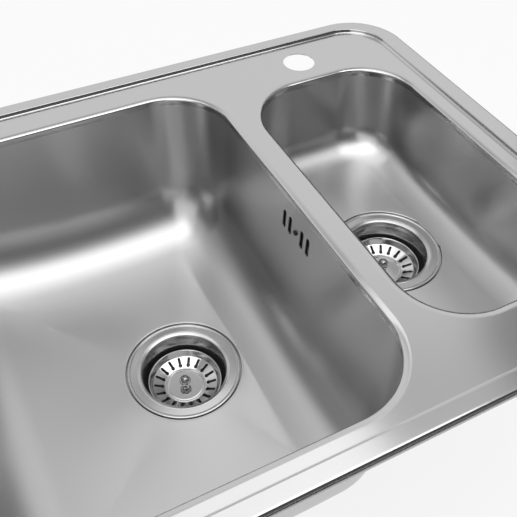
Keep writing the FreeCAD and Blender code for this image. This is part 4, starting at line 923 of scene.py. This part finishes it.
def outlet_tool(s, x, y, top):
    """Upright rods that cut the outlets in a cup's floor."""
    mesh = new_mesh()
    floor = top - s.cup_floor
    for step in range(OUTLETS):
        turn = math.radians(360 * step / OUTLETS)
        rod_x = x + s.outlet_circle * math.cos(turn)
        rod_y = y + s.outlet_circle * math.sin(turn)
        levels = (floor - OUTLET_MARGIN, floor + OUTLET_MARGIN)
        add_rod(mesh, [circle(rod_x, rod_y, z, s.outlet, OUTLET_STEPS) for z in levels])
    return mesh


def slot_tool(s, x, y, top):
    """Upright blades with round ends that cut the slots in a basket."""
    mesh = new_mesh()
    half, hole = s.slot_width / 2, s.slot_hole
    neck = math.degrees(math.asin(half / hole))
    section = arc(s.slot_end - half, 0, half, -90, 90)
    section += arc(s.slot_start + hole, 0, hole, neck, 360 - neck, BLADE_STEPS)
    levels = (top - s.basket_disc - SLOT_MARGIN, top - s.basket_cone + SLOT_MARGIN)
    for step in range(SLOTS):
        turn = Matrix.Rotation(math.radians(360 * step / SLOTS), 2)
        flat = [turn @ Vector(spot) + Vector((x, y)) for spot in section]
        add_rod(mesh, [[spot.to_3d() + Vector((0, 0, z)) for spot in flat] for z in levels])
    return mesh


class SINK_OT_wastes(bpy.types.Operator):
    """Finish the waste bodies, gaskets, nuts and clamp screws"""

    bl_idname = "sink.wastes"
    bl_label = "Wastes"

    def execute(self, context):
        for name in BOWLS:
            gaskets = [f"{name}_upper_gasket", f"{name}_lower_gasket"]
            dress(context, [f"{name}_waste_body"], "polypropylene_moulded_white")
            dress(context, gaskets, "nitrile_rubber_moulded_black")
            dress(context, [f"{name}_clamp_nut"], "brass_turned")
            dress(context, [f"{name}_clamp_screw"], "stainless_steel_rolled_screws")
        return {"FINISHED"}


class SINK_OT_overflow(bpy.types.Operator):
    """Finish the overflow's gasket, housing, screw, pipe and sleeves"""

    bl_idname = "sink.overflow"
    bl_label = "Overflow"

    def execute(self, context):
        soft = ["overflow_gasket", "overflow_lower_sleeve", "overflow_upper_sleeve"]
        dress(context, ["overflow_housing", "overflow_pipe"], "polypropylene_moulded_white")
        dress(context, soft, "nitrile_rubber_moulded_black")
        # Painted shade: the screw is coloured dark for the shade that falls on its head
        dress(context, ["overflow_screw"], "steel_screw_painted_shade")
        return {"FINISHED"}


class SINK_OT_clips(bpy.types.Operator):
    """Finish the clips that hold the sink to its worktop, and the rim seal"""

    bl_idname = "sink.clips"
    bl_label = "Clips and seal"

    def execute(self, context):
        plated = ["clip_bases"]
        plated += [f"{clip}_clip_screw" for clip in CLIPS]
        plated += [f"{clip}_clip_claw" for clip in CLIPS]
        dress(context, plated, "steel_zinc_plated")
        dress(context, ["rim_seal"], "polyethylene_foam_strip")
        return {"FINISHED"}


# Stage


def card(name, size, place, facing, material):
    """A flat studio surface that faces a given way."""
    mesh = bmesh.new()
    bmesh.ops.create_grid(mesh, x_segments=1, y_segments=1, size=0.5)
    data = bpy.data.meshes.new(name)
    mesh.to_mesh(data)
    mesh.free()
    made = bpy.data.objects.new(name, data)
    bpy.context.scene.collection.objects.link(made)
    turn = Vector(facing).to_track_quat("Z", "Y").to_matrix().to_4x4()
    made.matrix_world = Matrix.Translation(place) @ turn @ Matrix.Diagonal((*size, 1, 1))
    data.materials.append(material)
    return made


def softbox(name, power, size, place, facing):
    """A soft light with straight sides, which reflections show and the camera does not."""
    lamp = bpy.data.lights.new(name, "AREA")
    lamp.shape = "RECTANGLE"
    lamp.size, lamp.size_y = size
    lamp.energy = power
    made = bpy.data.objects.new(name, lamp)
    turn = Vector(facing).to_track_quat("-Z", "Y").to_matrix().to_4x4()
    made.matrix_world = Matrix.Translation(place) @ turn
    made.visible_camera = False
    bpy.context.scene.collection.objects.link(made)


# Between these heights of a direction, 1 being straight up, the horizon's brightness fades to the sky's.
FADE_START = 0.7
FADE_END = 0.95


def surroundings(stage):
    """White studio surroundings, bright near the horizon and dim high up."""
    world = bpy.data.worlds.new("studio")
    world.use_nodes = True
    tree = world.node_tree
    background = tree.nodes["Background"]
    way = node(tree, "ShaderNodeTexCoord").outputs["Generated"]
    height = node(tree, "ShaderNodeSeparateXYZ", links={"Vector": way}).outputs["Z"]
    fade = node(tree, "ShaderNodeMapRange", {"interpolation_type": "SMOOTHSTEP"},
                {"From Min": FADE_START, "From Max": FADE_END, "To Min": stage.world, "To Max": stage.sky},
                {"Value": height})
    background.inputs["Color"].default_value = (1, 1, 1, 1)
    tree.links.new(fade.outputs["Result"], background.inputs["Strength"])
    return world


# How far the floor turns white where the camera or a reflection sees it; the rest shows the shadow.
FLOOR_WHITE = 0.8
# Roughness of the floor's paper and the cards' felt
MATT = 0.9


def floor_paper(colours):
    """Matt white paper: an even white to the camera and in reflections, with a soft shadow left on it."""
    material, tree, shader = start_material("studio_floor_matt_paper", colours.floor, 0, MATT)
    path = node(tree, "ShaderNodeLightPath").outputs
    seen = node(tree, "ShaderNodeMath", {"operation": "ADD"},
                links={0: path["Is Camera Ray"], 1: path["Is Glossy Ray"]})
    through = node(tree, "ShaderNodeMath", {"operation": "ADD"},
                   links={0: seen.outputs["Value"], 1: path["Is Transmission Ray"]})
    share = node(tree, "ShaderNodeMath", {"operation": "MULTIPLY"}, {1: FLOOR_WHITE},
                 {0: through.outputs["Value"]})
    white = node(tree, "ShaderNodeEmission", values={"Color": (1, 1, 1, 1), "Strength": 1})
    mixed = node(tree, "ShaderNodeMixShader", links={
        0: share.outputs["Value"], 1: shader.outputs["BSDF"], 2: white.outputs["Emission"]})
    tree.links.new(mixed.outputs["Shader"], tree.nodes["Material Output"].inputs["Surface"])
    return material


FLOOR_SIZE = (12, 12)
# Felt cards that only reflections show: name, felt, width and height, middle, and the way it faces
CARDS = (
    ("studio_front_card", "dark", (2.45, 2.0), (0.775, -1.4, 1.8), (0, 1, 0)),
    ("studio_front_skirt_card", "slate", (2.45, 1.2), (0.775, -1.4, 0.2), (0, 1, 0)),
    ("studio_right_card", "grey", (2.0, 1.5), (1.5, -0.2, 1.25), (-1, 0, 0)),
    ("studio_low_right_card", "dark", (3.2, 0.8), (1.5, 0.4, 0.1), (-1, 0, 0)),
    ("studio_left_card", "dark", (1.8, 0.75), (-1.2, 0.5, 0.72), (1, 0, 0)),
    ("studio_low_front_card", "dark", (1.6, 0.6), (0.1, -0.66, -0.24), (0, 0, 1)),
)
DOWN = (0, 0, -1)

# The camera's turns in degrees, its lens and sensor in millimetres, and its place
CAMERA_YAW = 28.323
CAMERA_PITCH = 46.824
CAMERA_ROLL = 1.661
CAMERA_LENS = 50.23
CAMERA_SENSOR = 36
CAMERA_PLACE = (-0.1925, -0.4123, 0.4419)


def add_camera(scene):
    """The photograph's viewpoint: front left of the main bowl, looking down to the back right."""
    yaw, pitch, roll = (math.radians(a) for a in (CAMERA_YAW, CAMERA_PITCH, CAMERA_ROLL))
    flat = Vector((math.sin(yaw), math.cos(yaw), 0))
    forward = flat * math.cos(pitch) - Vector((0, 0, math.sin(pitch)))
    right = Vector((math.cos(yaw), -math.sin(yaw), 0))
    down = forward.cross(right)
    across = right * math.cos(roll) - down * math.sin(roll)
    downwards = right * math.sin(roll) + down * math.cos(roll)
    lens = bpy.data.cameras.new("camera")
    lens.sensor_width = CAMERA_SENSOR
    lens.lens = CAMERA_LENS
    lens.clip_start = 10 * MM
    camera = bpy.data.objects.new("camera", lens)
    columns = Matrix((across, -downwards, -forward)).transposed().to_4x4()
    camera.matrix_world = Matrix.Translation(CAMERA_PLACE) @ columns
    scene.collection.objects.link(camera)
    scene.camera = camera


class SINK_OT_stage(bpy.types.Operator):
    """Set up the floor, the light and the camera"""

    bl_idname = "sink.stage"
    bl_label = "Stage"

    def execute(self, context):
        scene = context.scene
        stage, colours = scene.sink_stage, scene.sink_colours
        scene.view_settings.view_transform = "Standard"
        scene.world = surroundings(stage)
        card("studio_floor", FLOOR_SIZE, (0, 0, CAD_BOX[0].z), (0, 0, 1), floor_paper(colours))
        # Felt: matt, so that a reflection of it is an even tone
        felts = {}
        for felt, base in (("dark", colours.card), ("grey", colours.grey), ("slate", colours.slate)):
            felts[felt] = start_material(f"studio_card_{felt}_felt", base, 0, MATT)[0]
        for name, felt, size, place, facing in CARDS:
            made = card(name, size, place, facing, felts[felt])
            made.visible_camera = made.visible_shadow = made.visible_diffuse = False
        # Each light has its power, width and length, middle, and the way it faces.
        softbox("top_light", stage.top_light, (1.9, 1.0), (0.1, -0.28, 1.7), DOWN)
        softbox("back_light", stage.back_light, (1.6, 0.68), (-0.05, 0.52, 1.7), DOWN)
        add_camera(scene)
        return {"FINISHED"}


PIECE_OPERATORS = (
    SINK_OT_deck, SINK_OT_bowls, SINK_OT_pads, SINK_OT_strainers, SINK_OT_wastes,
    SINK_OT_overflow, SINK_OT_clips, SINK_OT_stage,
)
GROUPS = {
    "sink_sheet": SinkSheetSizes,
    "sink_main": SinkMainSizes,
    "sink_half": SinkHalfSizes,
    "sink_strainer": SinkStrainerSizes,
    "sink_colours": SinkColours,
    "sink_stage": SinkStage,
}


class SINK_PT_panel(bpy.types.Panel):
    """The sink's pieces and values in the sidebar"""

    bl_idname = "SINK_PT_panel"
    bl_label = "Inset sink"
    bl_space_type = "VIEW_3D"
    bl_region_type = "UI"
    bl_category = "Sink"

    def draw(self, context):
        for operator in PIECE_OPERATORS:
            self.layout.operator(operator.bl_idname)
        for name, group in GROUPS.items():
            values = getattr(context.scene, name)
            column = self.layout.column(heading=group.__doc__)
            for key in group.__annotations__:
                column.prop(values, key)


CLASSES = (*GROUPS.values(), *PIECE_OPERATORS, SINK_PT_panel)


def register():
    for item in CLASSES:
        bpy.utils.register_class(item)
    for name, group in GROUPS.items():
        setattr(bpy.types.Scene, name, bpy.props.PointerProperty(type=group))


def unregister():
    for name in GROUPS:
        delattr(bpy.types.Scene, name)
    for item in reversed(CLASSES):
        bpy.utils.unregister_class(item)


def main():
    register()
    bpy.ops.sink.deck()
    bpy.ops.sink.bowls()
    bpy.ops.sink.pads()
    bpy.ops.sink.strainers()
    bpy.ops.sink.wastes()
    bpy.ops.sink.overflow()
    bpy.ops.sink.clips()
    bpy.ops.sink.stage()


if __name__ == "__main__":
    main()
